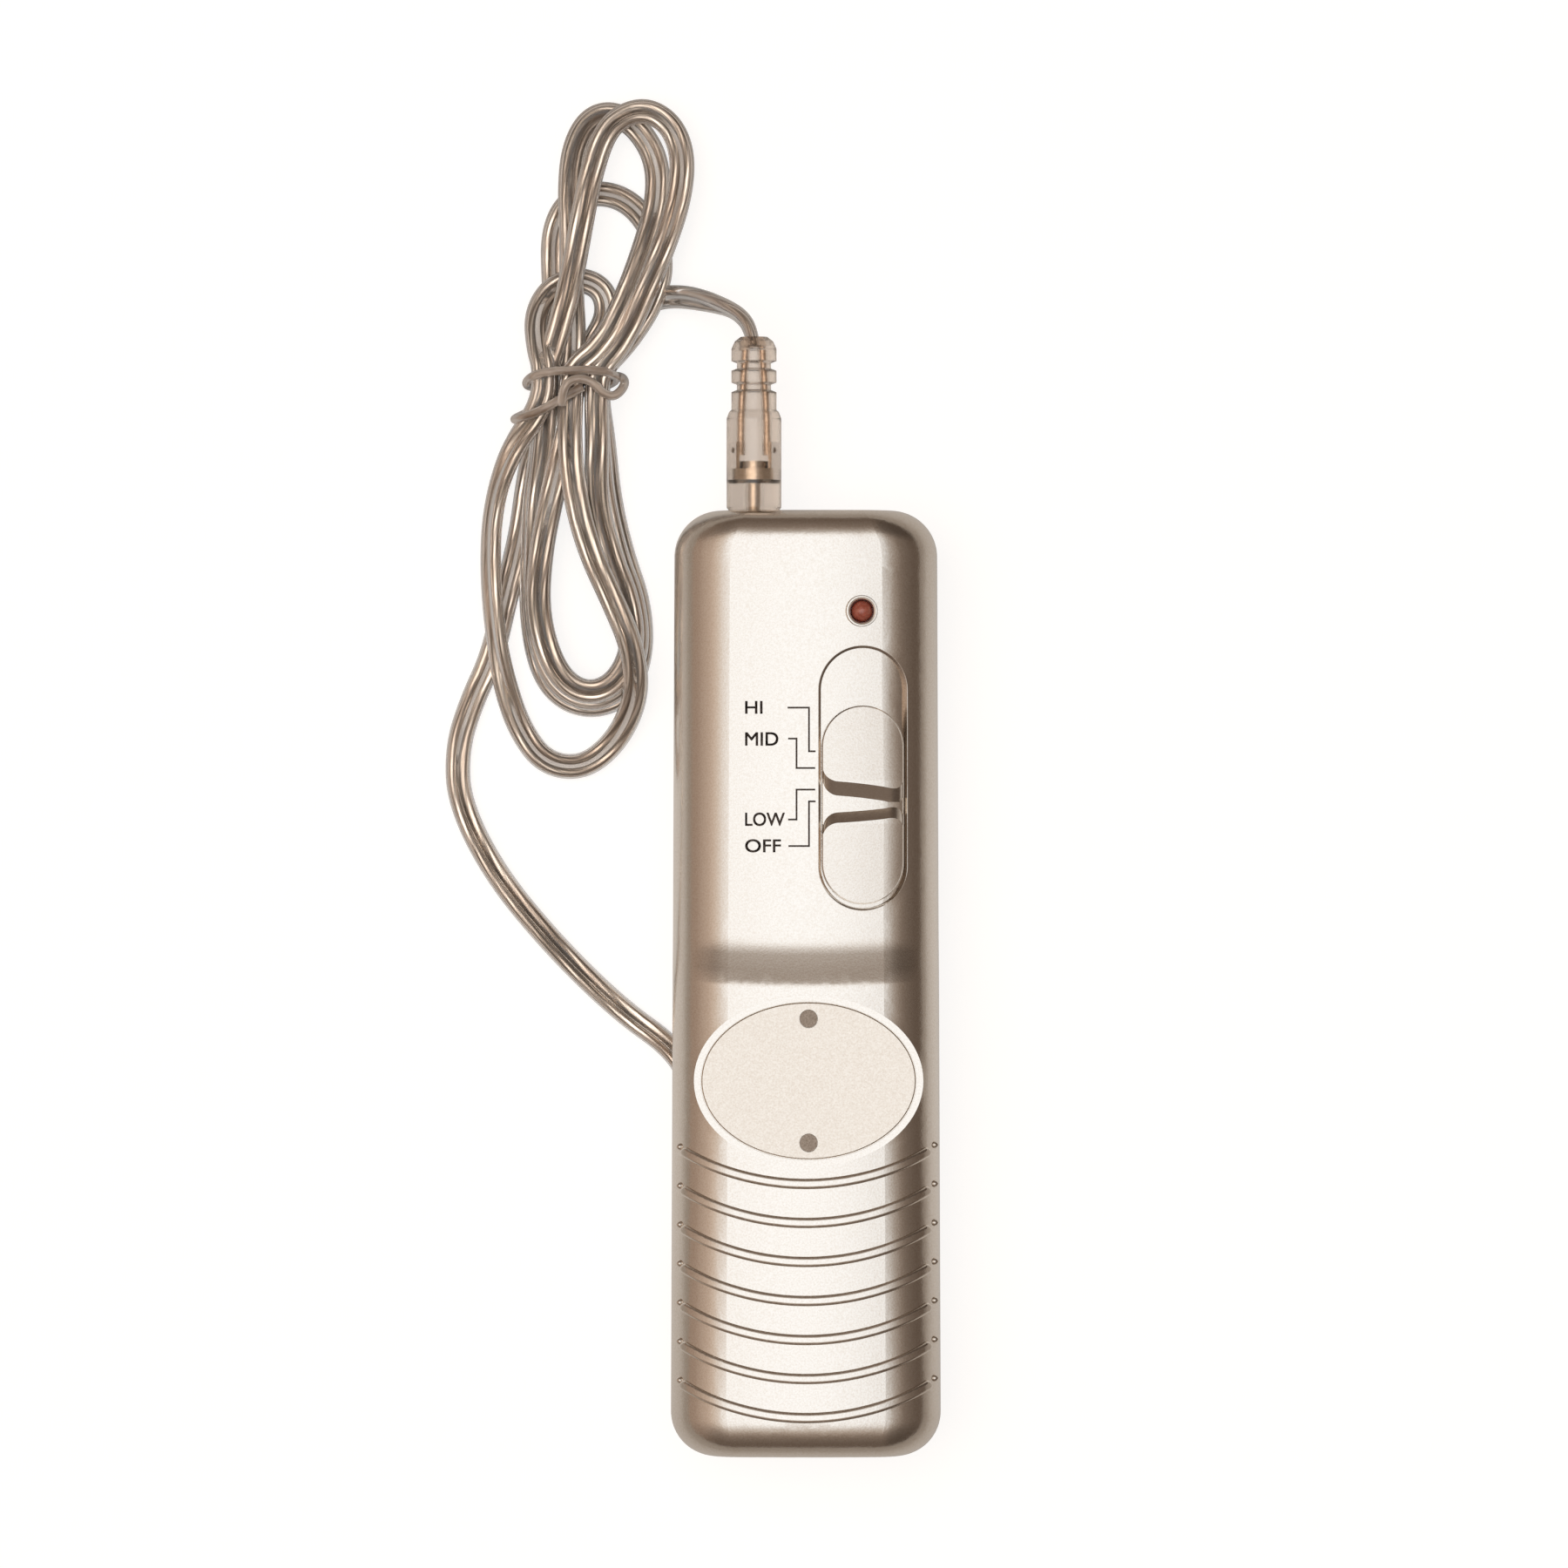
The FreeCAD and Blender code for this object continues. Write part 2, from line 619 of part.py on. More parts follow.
def switch_shell():
    half_x, half_y = SWITCH_WIDTH / 2, SWITCH_LENGTH / 2
    outer = box(SLOT_X - half_x, SLOT_X + half_x, SWITCH_Y - half_y, SWITCH_Y + half_y,
                BOARD_TOP_Z + 1.0, SWITCH_TOP_Z)
    s = SWITCH_SHEET
    inner = box(SLOT_X - half_x + s, SLOT_X + half_x - s, SWITCH_Y - half_y + s,
                SWITCH_Y + half_y - s, 0, SWITCH_TOP_Z - s)
    gap = 0.3
    half_slot = ACTUATOR_SIZE / 2 + gap
    slot = box(SLOT_X - half_slot, SLOT_X + half_slot, KNOB_Y - half_slot,
               KNOB_Y + half_slot + KNOB_TRAVEL, 0, BIG)
    return outer.cut(inner).cut(slot)


SWITCH_BASE_Z = BOARD_TOP_Z + 1.0


def switch_base():
    half_x, half_y = SWITCH_WIDTH / 2, SWITCH_LENGTH / 2
    return box(SLOT_X - half_x, SLOT_X + half_x, SWITCH_Y - half_y, SWITCH_Y + half_y,
               BOARD_TOP_Z, SWITCH_BASE_Z).cut(together(terminal_pins()))


def terminal_pins():
    pitch = (SWITCH_LENGTH - 4.0) / (TERMINAL_COUNT - 1)
    low = BOARD_TOP_Z - BOARD_THICKNESS - 1.2
    pins = []
    for i in range(TERMINAL_COUNT):
        y = SWITCH_Y + (i - (TERMINAL_COUNT - 1) / 2) * pitch
        pins.append(box(SLOT_X - 0.5, SLOT_X + 0.5, y - 0.25, y + 0.25, low,
                        SWITCH_BASE_Z + 0.25))
    return pins


def switch_actuator():
    foot_z = SWITCH_BASE_Z + 0.95
    foot = box(SLOT_X - 2.6, SLOT_X + 2.6, KNOB_Y - 4.0, KNOB_Y + 4.0, foot_z,
               SWITCH_TOP_Z - SWITCH_SHEET - SEAT_GAP)
    half = ACTUATOR_SIZE / 2
    stub = box(SLOT_X - half, SLOT_X + half, KNOB_Y - half, KNOB_Y + half, foot_z,
               ACTUATOR_TOP_Z)
    return foot.fuse(stub).removeSplitter()


def switch_wiper():
    """Bent bronze strip under the actuator that bridges two terminals."""
    top = SWITCH_BASE_Z + 0.95
    low = SWITCH_BASE_Z + 0.30
    sheet = 0.2
    strip = box(SLOT_X - 1.2, SLOT_X + 1.2, KNOB_Y - 3.6, KNOB_Y + 3.6, top - sheet, top)
    feet = []
    for side in (-1, 1):
        y = KNOB_Y + side * 2.4
        feet.append(box(SLOT_X - 0.6, SLOT_X + 0.6, y - sheet, y + sheet, low, top - sheet))
    return fuse([strip] + feet).removeSplitter()


# ---- board and its parts ------------------------------------------------------------------------------
BOARD_LOW_Z = BOARD_TOP_Z - BOARD_THICKNESS


def case_screw_places():
    return [(side * CASE_SCREW_X, y) for y in CASE_SCREW_YS for side in (-1, 1)]


def circuit_board():
    board = box(-BOARD_HALF_WIDTH, BOARD_HALF_WIDTH, BOARD_Y0, BOARD_Y1, BOARD_LOW_Z,
                BOARD_TOP_Z)
    corners = [e for e in board.Edges if abs(e.BoundBox.ZLength - BOARD_THICKNESS) < 0.01]
    board = board.makeFillet(2.5, corners)
    board = board.cut(box(-BIG, BOARD_NOTCH_X, BOARD_NOTCH_Y, BIG, 0, BIG))
    for x, y in case_screw_places():
        board = board.cut(rod(BOSS_RADIUS + 0.4, x, y, 0, BIG))
        side = 1 if x > 0 else -1
        wide = sorted([x, side * BIG])
        if y > BOARD_Y0:
            board = board.cut(box(wide[0], wide[1], y - BOSS_RADIUS - 0.4,
                                  y + BOSS_RADIUS + 0.4, 0, BIG))
    for x, y in BOARD_SCREWS:
        board = board.cut(rod(BOARD_SCREW_RADIUS + RUNNING, x, y, 0, BIG))
    holes = terminal_pins() + lamp_leads() + [r for part in resistors() for r in part[1]]
    for wire_end in wire_board_ends():
        holes.append(rod(0.55, wire_end[0], wire_end[1], 0, BIG))
    return board.cut(together(holes))


def lamp_body():
    z1 = face_z(LAMP_X, LAMP_Y)
    flange_z = z1 - WALL - 0.9
    body = rod(LAMP_RADIUS, LAMP_X, LAMP_Y, flange_z, z1 - LAMP_RADIUS + 0.1)
    dome = Part.makeSphere(LAMP_RADIUS, Vector(LAMP_X, LAMP_Y, z1 - LAMP_RADIUS + 0.1))
    flange = rod(LAMP_FLANGE_RADIUS, LAMP_X, LAMP_Y, flange_z, flange_z + 0.7)
    return fuse([body, dome, flange]).removeSplitter()


def lamp_leads():
    z1 = face_z(LAMP_X, LAMP_Y) - WALL - 0.9
    return [rod(0.25, LAMP_X + side * 1.27, LAMP_Y, BOARD_LOW_Z - 1.0, z1) for side in (-1, 1)]


def resistors():
    """Bodies and lead legs of the speed resistors and the lamp's resistor, lying along X."""
    found = []
    for y, radius, length in ((13.0, 1.6, 7.0), (19.0, 1.6, 7.0), (25.0, 1.1, 5.0)):
        x, z = -3.6, BOARD_TOP_Z + radius + SEAT_GAP
        body = Part.makeCylinder(radius, length, Vector(x - length / 2, y, z), Vector(1, 0, 0))
        legs = []
        for side in (-1, 1):
            inner, outer = x + side * length / 2, x + side * (length / 2 + 1.0)
            span = sorted([inner, outer])
            arm = Part.makeCylinder(0.3, span[1] - span[0], Vector(span[0], y, z),
                                    Vector(1, 0, 0))
            leg = rod(0.3, outer, y, BOARD_LOW_Z - 0.8, z)
            elbow = Part.makeSphere(0.3, Vector(outer, y, z))
            legs.append(fuse([arm, leg, elbow]))
        found.append((body, legs))
    return found


def driver_transistor():
    """Flat-fronted three-legged transistor that switches the lamp."""
    x, y = -4.0, 33.0
    can = rod(2.3, x, y, BOARD_TOP_Z + 0.6, BOARD_TOP_Z + 5.0)
    can = can.cut(box(x - 3, x + 3, y + 1.3, y + 3, 0, BIG))
    legs = [box(x + dx - 0.22, x + dx + 0.22, y - 0.22, y + 0.22, BOARD_TOP_Z + SEAT_GAP,
                BOARD_TOP_Z + 0.6) for dx in (-1.27, 0, 1.27)]
    return fuse([can] + legs)


# ---- shells -------------------------------------------------------------------------------------------
def jack_hole():
    return rod_y(JACK_NOSE_RADIUS + SEAT_GAP, JACK_X, JACK_Z, HALF - WALL - 1.0, HALF + 5)


def front_shell(outer, inner, trim):
    raised = bead_form(BEAD_FIRST_Y - (BEAD_COUNT + 1) * BEAD_PITCH, BEAD_FIRST_Y + 2 * BEAD_PITCH)
    shell = outer.common(box(-BIG, BIG, -BIG, BIG, PARTING_Z, BIG))
    shell = shell.fuse(ellipse_prism(BADGE_RX + BADGE_RIM, BADGE_RY + BADGE_RIM,
                                     GRIP_THICKNESS - 4.0, GRIP_THICKNESS))
    for index in range(BEAD_COUNT):
        shell = shell.fuse(bead(index, raised))
    lip = plan_ring(WALL / 2 + LIP_CLEARANCE, WALL + LIP_STEP, PARTING_Z - LIP_HEIGHT,
                    PARTING_Z + 0.5)
    hollow = inner.common(box(-BIG, BIG, -BIG, BIG, PARTING_Z - 5, BIG))
    shell = shell.cut(hollow)
    seat = ellipse_prism(BADGE_RX + BADGE_RIM, BADGE_RY + BADGE_RIM, BADGE_SEAT_Z - 1.2,
                         BADGE_SEAT_Z).common(outer)
    shell = shell.fuse(seat)
    shell = shell.fuse(lip)
    posts = []
    for x, y in case_screw_places():
        posts.append(rod(BOSS_RADIUS, x, y, BOSS_JOINT_Z, TOP_THICKNESS))
    for x, y in BOARD_SCREWS:
        posts.append(rod(BOSS_RADIUS - 0.4, x, y, BOARD_TOP_Z, TOP_THICKNESS))
    for post in posts:
        shell = shell.fuse(post.common(trim))
    cuts = []
    for x, y in case_screw_places():
        cuts.append(rod(CASE_SCREW_RADIUS + RUNNING, x, y, 0,
                        CASE_SCREW_SEAT_Z + CASE_SCREW_LENGTH + 1.0))
    for x, y in BOARD_SCREWS:
        cuts.append(rod(BOARD_SCREW_RADIUS + RUNNING, x, y, 0,
                        BOARD_LOW_Z + BOARD_SCREW_LENGTH + 0.5))
    slot = prism(oblong_wire(SLOT_X, SLOT_Y, SLOT_WIDTH, SLOT_LENGTH), PARTING_Z + 2, BIG)
    cuts.append(slot.cut(upper_body(SLOT_DEPTH)))
    x0, x1, y0, y1 = stem_box(STEM_SLOT_CLEARANCE, KNOB_TRAVEL)
    cuts.append(box(x0, x1, y0, y1, PARTING_Z + 2, BIG))
    cuts.append(rod(LAMP_HOLE_RADIUS, LAMP_X, LAMP_Y, PARTING_Z + 2, BIG))
    lamp_z = face_z(LAMP_X, LAMP_Y)
    cuts.append(Part.makeCone(LAMP_HOLE_RADIUS, LAMP_HOLE_RADIUS + 0.9, 0.9,
                              Vector(LAMP_X, LAMP_Y, lamp_z - 0.35), Vector(0, 0, 1)))
    cuts.append(ellipse_prism(BADGE_RX + BADGE_GAP, BADGE_RY + BADGE_GAP, BADGE_SEAT_Z, BIG))
    for x, y in badge_pin_places():
        cuts.append(rod(BADGE_PIN_SHANK + RUNNING, x, y, PARTING_Z + 2, BIG))
    cuts.append(jack_hole())
    cuts.append(plan_ring(-2.0, SHADOW_DEPTH, PARTING_Z - 1, PARTING_Z + SHADOW_GAP / 2))
    for cut in cuts:
        shell = shell.cut(cut)
    return shell


def door_space(extra):
    return box(-DOOR_HALF_WIDTH - extra, DOOR_HALF_WIDTH + extra, -BIG, DOOR_TOP_Y + extra, -5,
               DOOR_LIP_Z + extra)


def tub_section(grow, z_low):
    """Box with round upper corners that runs the length of the battery bay."""
    half = BAY_HALF_WIDTH + grow
    top = CELL_Z + CELL_RADIUS + SEAT_GAP + grow * 1.1
    y0 = BAY_TOP_Y - BAY_LENGTH - (BAY_END_WALL if grow else 0)
    y1 = BAY_TOP_Y + (BAY_END_WALL if grow else 0)
    solid = box(-half, half, y0, y1, z_low, top)
    edges = [e for e in solid.Edges if e.BoundBox.YLength > 10 and e.BoundBox.ZMin > top - 0.1]
    return solid.makeFillet(BAY_CORNER + grow, edges)


def battery_tub():
    rim = DOOR_LIP_Z + TUB_GAP
    outer = tub_section(BAY_WALL, rim).common(prism(plan_wire(WALL + TUB_GAP), 0, BIG))
    foot = box(-BAY_FOOT_HALF_WIDTH, BAY_FOOT_HALF_WIDTH,
               BAY_TOP_Y - BAY_LENGTH - BAY_END_WALL, BAY_TOP_Y + BAY_END_WALL,
               BAY_FOOT_Z, rim + 1.0)
    bay = tub_section(0.0, -1.0).common(prism(plan_wire(WALL + TUB_GAP + BAY_WALL), -2, BIG))
    tub = outer.fuse(foot).cut(bay)
    for side in (-1, 1):
        tub = tub.cut(tail_box(side * CELL_X, SEAT_GAP))
    return tub


def back_shell(outer, inner, trim):
    shell = outer.common(box(-BIG, BIG, -BIG, BIG, -BIG, PARTING_Z))
    shell = shell.cut(inner)
    shell = shell.cut(plan_ring(WALL / 2, WALL + 0.5, PARTING_Z - LIP_HEIGHT - SEAT_GAP,
                                PARTING_Z + 1))
    shell = shell.cut(plan_ring(-2.0, SHADOW_DEPTH, PARTING_Z - SHADOW_GAP / 2, PARTING_Z + 1))
    shell = shell.cut(door_space(DOOR_CLEARANCE))
    feet = [rod(BOSS_FOOT_RADIUS, x, y, 0, BOSS_JOINT_Z) for x, y in case_screw_places()]
    cradles = [box(JACK_X - 3.0, JACK_X + 3.0, y, y + 1.2, 0.5, JACK_Z - JACK_WIDTH / 2)
               for y in (HALF - WALL - 9.5, HALF - WALL - 3.5)]
    for inside in feet + cradles:
        shell = shell.fuse(inside.common(trim))
    shell = shell.fuse(battery_tub())
    for x, y in case_screw_places():
        shell = shell.cut(rod(CASE_SCREW_RADIUS + 0.15, x, y, -1, BOSS_JOINT_Z + 1))
        shell = shell.cut(rod(CASE_SCREW_HEAD_RADIUS + 0.3, x, y, -1, CASE_SCREW_SEAT_Z))
    shell = shell.cut(jack_hole())
    for x in (-6.0, 6.0):
        half = DOOR_TAB_WIDTH / 2 + DOOR_CLEARANCE
        shell = shell.cut(box(x - half, x + half, DOOR_TOP_Y - 1, DOOR_TOP_Y + DOOR_TAB_REACH
                              + 0.4, WALL - DOOR_TAB_THICKNESS - 0.1, WALL + 0.01))
    return shell


def battery_door(outer, inner):
    door = outer.cut(inner).common(door_space(0.0))
    tabs = []
    for x in (-6.0, 6.0):
        half = DOOR_TAB_WIDTH / 2
        z1 = WALL - 0.05
        tabs.append(box(x - half, x + half, DOOR_TOP_Y - 2.5, DOOR_TOP_Y + DOOR_TAB_REACH,
                        z1 - DOOR_TAB_THICKNESS + 0.1, z1))
    door = door.fuse(together(tabs))
    grip_y = DOOR_TOP_Y - 10.0
    curve = Part.Ellipse(Vector(0, grip_y, 0), DOOR_GRIP_RX, DOOR_GRIP_RY)
    dish = prism(Part.Wire([curve.toShape()]), -1.0, DOOR_GRIP_DEPTH)
    bars = []
    for i in range(DOOR_GRIP_BARS):
        y = grip_y + (i - (DOOR_GRIP_BARS - 1) / 2) * 1.7
        bars.append(box(-DOOR_GRIP_RX, DOOR_GRIP_RX, y - 0.35, y + 0.35, 0.15, 2.0))
    return door.cut(dish.cut(together(bars)))


def planed(piece):
    """The piece with its back planed to the one plane that the case rests on."""
    return piece.cut(box(-BIG, BIG, -BIG, BIG, -BIG, REST_PLANE))


def case_screws():
    screws = []
    for x, y in case_screw_places():
        head = rod(CASE_SCREW_HEAD_RADIUS, x, y, CASE_SCREW_SEAT_Z - CASE_SCREW_HEAD_HEIGHT,
                   CASE_SCREW_SEAT_Z)
        shank = rod(CASE_SCREW_RADIUS, x, y, CASE_SCREW_SEAT_Z,
                    CASE_SCREW_SEAT_Z + CASE_SCREW_LENGTH)
        screws.append(cross_slot(head.fuse(shank).removeSplitter(), x, y,
                                 CASE_SCREW_SEAT_Z - CASE_SCREW_HEAD_HEIGHT, 1.3))
    return together(screws)


def cross_slot(screw, x, y, z, arm):
    for half_x, half_y in ((arm, 0.25), (0.25, arm)):
        screw = screw.cut(box(x - half_x, x + half_x, y - half_y, y + half_y, z - 0.1, z + 0.8))
    return screw


def board_screws():
    screws = []
    for x, y in BOARD_SCREWS:
        head = rod(BOARD_SCREW_HEAD_RADIUS, x, y, BOARD_LOW_Z - 1.2, BOARD_LOW_Z)
        shank = rod(BOARD_SCREW_RADIUS, x, y, BOARD_LOW_Z, BOARD_LOW_Z + BOARD_SCREW_LENGTH)
        screws.append(cross_slot(head.fuse(shank).removeSplitter(), x, y, BOARD_LOW_Z - 1.2,
                                 1.1))
    return together(screws)


# ---- cells and contacts ----------------------------------------------------------------------------------
BAY_LOW_Y = BAY_TOP_Y - BAY_LENGTH


def cell(x, up):
    """A cell with its nub towards +Y when up, held between a plate and a spring."""
    if up:
        y1 = BAY_TOP_Y - CONTACT_THICKNESS - 0.05
        can = rod_y(CELL_RADIUS, x, CELL_Z, y1 - CELL_NUB - CELL_CAN, y1 - CELL_NUB)
        nub = rod_y(CELL_NUB_RADIUS, x, CELL_Z, y1 - CELL_NUB, y1)
    else:
        y0 = BAY_LOW_Y + CONTACT_THICKNESS + 0.05
        can = rod_y(CELL_RADIUS, x, CELL_Z, y0 + CELL_NUB, y0 + CELL_NUB + CELL_CAN)
        nub = rod_y(CELL_NUB_RADIUS, x, CELL_Z, y0, y0 + CELL_NUB)
    rims = [e for e in can.Edges if e.Curve.TypeId == "Part::GeomCircle"]
    return can.makeFillet(0.6, rims).fuse(nub)


def contact_plate(x0, x1, y0):
    return box(x0, x1, y0, y0 + CONTACT_THICKNESS, CELL_Z - 4.6, CELL_Z + 4.6)


def tail_box(x, extra=0.0):
    """A top contact's tail, or with extra the slot that lets it through the end wall."""
    half_x, half_z = TAIL_WIDTH / 2 + extra, CONTACT_THICKNESS / 2 + extra
    return box(x - half_x, x + half_x, BAY_TOP_Y - CONTACT_THICKNESS,
               BAY_TOP_Y + BAY_END_WALL + TAIL_REACH, TAIL_Z - half_z, TAIL_Z + half_z)


def contact_spring(x, y_plate, direction):
    """Conical coil of tilted half turns from its plate to the flat end of a cell."""
    gap = BAY_LENGTH - 2 * CONTACT_THICKNESS - 0.05 - CELL_NUB - CELL_CAN
    length = gap - SPRING_WIRE - 0.1
    foot = y_plate + direction * (SPRING_WIRE / 2 + 0.03)
    halves = round(2 * SPRING_TURNS)
    ends = []
    for index in range(halves + 1):
        share = index / halves
        radius = SPRING_BASE_RADIUS + share * (SPRING_TIP_RADIUS - SPRING_BASE_RADIUS)
        side = 1 if index % 2 == 0 else -1
        ends.append(Vector(x + side * radius, foot + direction * share * length, CELL_Z))
    arcs = []
    for index, (start, end) in enumerate(zip(ends, ends[1:])):
        side = 1 if index % 2 == 0 else -1
        crest = (start + end) * 0.5 + Vector(0, 0, side * (end - start).Length / 2)
        arcs.append(Part.Arc(start, crest, end).toShape())
    ring = Part.Wire([Part.Circle(ends[0], Vector(0, 0, 1), SPRING_WIRE / 2).toShape()])
    return Part.Wire(arcs).makePipeShell([ring], True, False)


# ---- jack -----------------------------------------------------------------------------------------------
JACK_Y1 = HALF - WALL - 0.25
JACK_Y0 = JACK_Y1 - JACK_LENGTH
JACK_TAIL_Z = JACK_Z - JACK_WIDTH / 2 - 1.0


def jack_socket():
    half = JACK_WIDTH / 2
    body = box(JACK_X - half, JACK_X + half, JACK_Y0, JACK_Y1, JACK_Z - half + 0.05,
               JACK_Z + half)
    nose = rod_y(JACK_NOSE_RADIUS, JACK_X, JACK_Z, JACK_Y1, HALF - 0.1)
    bore = rod_y(PIN_RADIUS + RUNNING, JACK_X, JACK_Z, JACK_Y0 - 1, HALF + 1)
    spring_slot = box(JACK_X - 1.2, JACK_X + 1.2, JACK_Y0 + 2.0, JACK_Y0 + 8.0,
                      JACK_Z - half - 1, JACK_Z - PIN_RADIUS + 0.4)
    return body.fuse(nose).cut(bore).cut(spring_slot)


def jack_contacts():
    leaf = box(JACK_X - 1.0, JACK_X + 1.0, JACK_Y0 + 2.1, JACK_Y0 + 7.9,
               JACK_Z - PIN_RADIUS - 0.45, JACK_Z - PIN_RADIUS - RUNNING)
    tail = box(JACK_X - 1.0, JACK_X + 1.0, JACK_Y0 + 2.1, JACK_Y0 + 2.5, JACK_TAIL_Z,
               JACK_Z - PIN_RADIUS - 0.45)
    rear = box(JACK_X - 1.5, JACK_X + 1.5, JACK_Y0 - 0.4, JACK_Y0, JACK_TAIL_Z,
               JACK_Z + 2.0)
    return together([leaf.fuse(tail).removeSplitter(), rear])


# ---- tubes -----------------------------------------------------------------------------------------------
def tube(points, diameter, label=None):
    """Round tube of straight runs joined by tangent arcs as large as their runs allow."""
    at = [Vector(*p) for p in points]
    edges, start, radii = [], at[0], []
    for before, corner, after in zip(at, at[1:], at[2:]):
        come, go = (corner - before), (after - corner)
        run = min(come.Length, go.Length)
        come.normalize()
        go.normalize()
        half_turn = come.getAngle(go) / 2
        reach = 0.45 * run
        radii.append(reach / math.tan(half_turn))
        first, last = corner - come * reach, corner + go * reach
        inward = (go - come)
        inward.normalize()
        sag = radii[-1] * (1 / math.cos(half_turn) - 1)
        edges.append(Part.LineSegment(start, first).toShape())
        edges.append(Part.Arc(first, corner + inward * sag, last).toShape())
        start = last
    edges.append(Part.LineSegment(start, at[-1]).toShape())
    path = Part.Wire(edges)
    ring = Part.Wire([Part.Circle(at[0], at[1] - at[0], diameter / 2).toShape()])
    solid = path.makePipeShell([ring], True, False)
    if label:
        shown = ", ".join(f"{r:.1f}" for r in radii)
        section_volume = math.pi * diameter**2 / 4 * path.Length
        print(f"{label}: length {path.Length:.1f}, radii {shown}, volume {solid.Volume:.1f} "
              f"against {section_volume:.1f}")
    return solid


# ---- lead ------------------------------------------------------------------------------------------------
PLUG_Y0 = HALF + PLUG_FACE_GAP
SHOULDER_Y = PLUG_Y0 + PLUG_BARREL
RELIEF_Y1 = SHOULDER_Y + RELIEF_LENGTH

LEAD_IN = [
    (JACK_X, 85.4, JACK_Z),
    (-7.6, 90.6, 12.8),
    (-11.4, 94.0, 11.2),
    (-17.0, 94.4, 8.0),
    (-22.6, 93.0, 5.6),
]
LEAD_OUT = [
    (-42.4, 45.0, 1.75),
    (-47.3, 34.6, 1.75),
    (-48.0, 25.0, 1.75),
    (-42.9, 14.4, 1.75),
    (-35.2, 4.8, 1.75),
    (-26.2, -3.9, 1.75),
    (-15.4, -11.0, 1.75),
    (-15.2, -24.0, 1.75),
    (-15.9, -35.0, 1.9),
]


def lead_in():
    return tube(LEAD_IN, FLEX_WIDTH, "lead in")


def lead_out():
    return tube(LEAD_OUT, FLEX_WIDTH, "lead out")


def revolved(profile, x, z):
    """Solid of revolution about an axis along Y, from (radius, y) points."""
    at = [Vector(x + r, y, z) for r, y in profile]
    wire = Part.makePolygon(at + [at[0]])
    return Part.Face(wire).revolve(Vector(x, 0, z), Vector(0, 1, 0), 360)


def plug_body(metal, flex):
    groove, depth = 0.35, 0.75
    profile = [(0, PLUG_Y0), (PLUG_RADIUS - 0.3, PLUG_Y0), (PLUG_RADIUS, PLUG_Y0 + 0.4),
               (PLUG_RADIUS, SHOULDER_Y - 0.9), (PLUG_RADIUS - 0.35, SHOULDER_Y),
               (RELIEF_RADIUS, SHOULDER_Y + 0.25)]
    for place in RELIEF_GROOVES:
        y = SHOULDER_Y + place
        profile += [(RELIEF_RADIUS, y - groove - 0.3), (RELIEF_RADIUS - depth, y - groove),
                    (RELIEF_RADIUS - depth, y + groove), (RELIEF_RADIUS, y + groove + 0.3)]
    profile += [(RELIEF_RADIUS, RELIEF_Y1 - 1.6), (RELIEF_RADIUS - 0.45, RELIEF_Y1 - 0.6),
                (RELIEF_RADIUS - 1.2, RELIEF_Y1), (0, RELIEF_Y1)]
    body = revolved(profile, JACK_X, JACK_Z)
    return body.cut(metal).cut(flex)


def plug_pin():
    """Contact pin with its insulating ring groove, tube and flange inside the moulding."""
    tip = PLUG_Y0 - PIN_LENGTH
    profile = [(0, tip), (0.5, tip), (PIN_RADIUS, tip + 0.9), (PIN_RADIUS, tip + 1.6),
               (PIN_RADIUS - 0.25, tip + 2.2), (PIN_RADIUS, tip + 2.8), (PIN_RADIUS, PLUG_Y0),
               (0.85, PLUG_Y0), (0.85, PLUG_Y0 + 3.6), (2.2, PLUG_Y0 + 3.6),
               (2.65, PLUG_Y0 + 4.1), (2.65, PLUG_Y0 + 5.6), (1.4, PLUG_Y0 + 5.6),
               (1.4, PLUG_Y0 + 6.6), (0, PLUG_Y0 + 6.6)]
    return revolved(profile, JACK_X, JACK_Z)


def plug_lugs():
    """Two solder lugs that stand behind the flange, one for each core."""
    y0 = PLUG_Y0 + 5.6
    lugs = []
    for side in (-1, 1):
        x = JACK_X + side * 1.75
        leg = box(x - 0.2, x + 0.2, y0, y0 + 3.6, JACK_Z - 1.3, JACK_Z + 1.3)
        lugs.append(leg.cut(Part.makeCylinder(0.45, 4, Vector(x - 2, y0 + 2.5, JACK_Z),
                                              Vector(1, 0, 0))))
    return together(lugs)


def plug_conductors():
    """The two stripped cores, from the end of the flex to the lugs."""
    cores = []
    for side in (-1, 1):
        cores.append(tube([(JACK_X + side * 1.2, PLUG_Y0 + 7.4, JACK_Z),
                           (JACK_X + side * 1.15, SHOULDER_Y, JACK_Z),
                           (JACK_X + side * 0.75, 85.4 - 0.02, JACK_Z)], 0.9))
    return together(cores)


def outline_face(points):
    """Closed smooth outline through hand-chosen places."""
    curve = Part.BSplineCurve()
    curve.interpolate(Points=[Vector(x, y, 0) for x, y in points], PeriodicFlag=True)
    return Part.Face(Part.Wire([curve.toShape()]))


HANK_OUTLINE = [
    (-23.2, 119.9), (-18.0, 116.4), (-15.8, 109.5), (-17.2, 101.5), (-19.6, 93.5),
    (-23.6, 86.6), (-26.4, 80.8), (-28.0, 74.0), (-25.6, 64.4), (-21.8, 54.8), (-21.0, 45.0),
    (-23.6, 34.6), (-31.4, 27.6), (-38.6, 32.0), (-42.6, 42.0), (-44.0, 54.0), (-42.4, 67.0),
    (-38.4, 75.6), (-37.2, 82.0), (-36.8, 90.0), (-35.6, 101.0), (-33.2, 110.6),
    (-29.4, 118.4),
]
HANK_UPPER_HOLE = [(-26.6, 113.0), (-23.6, 108.8), (-24.4, 101.6), (-28.2, 92.6),
                   (-30.0, 97.4), (-30.2, 105.6)]
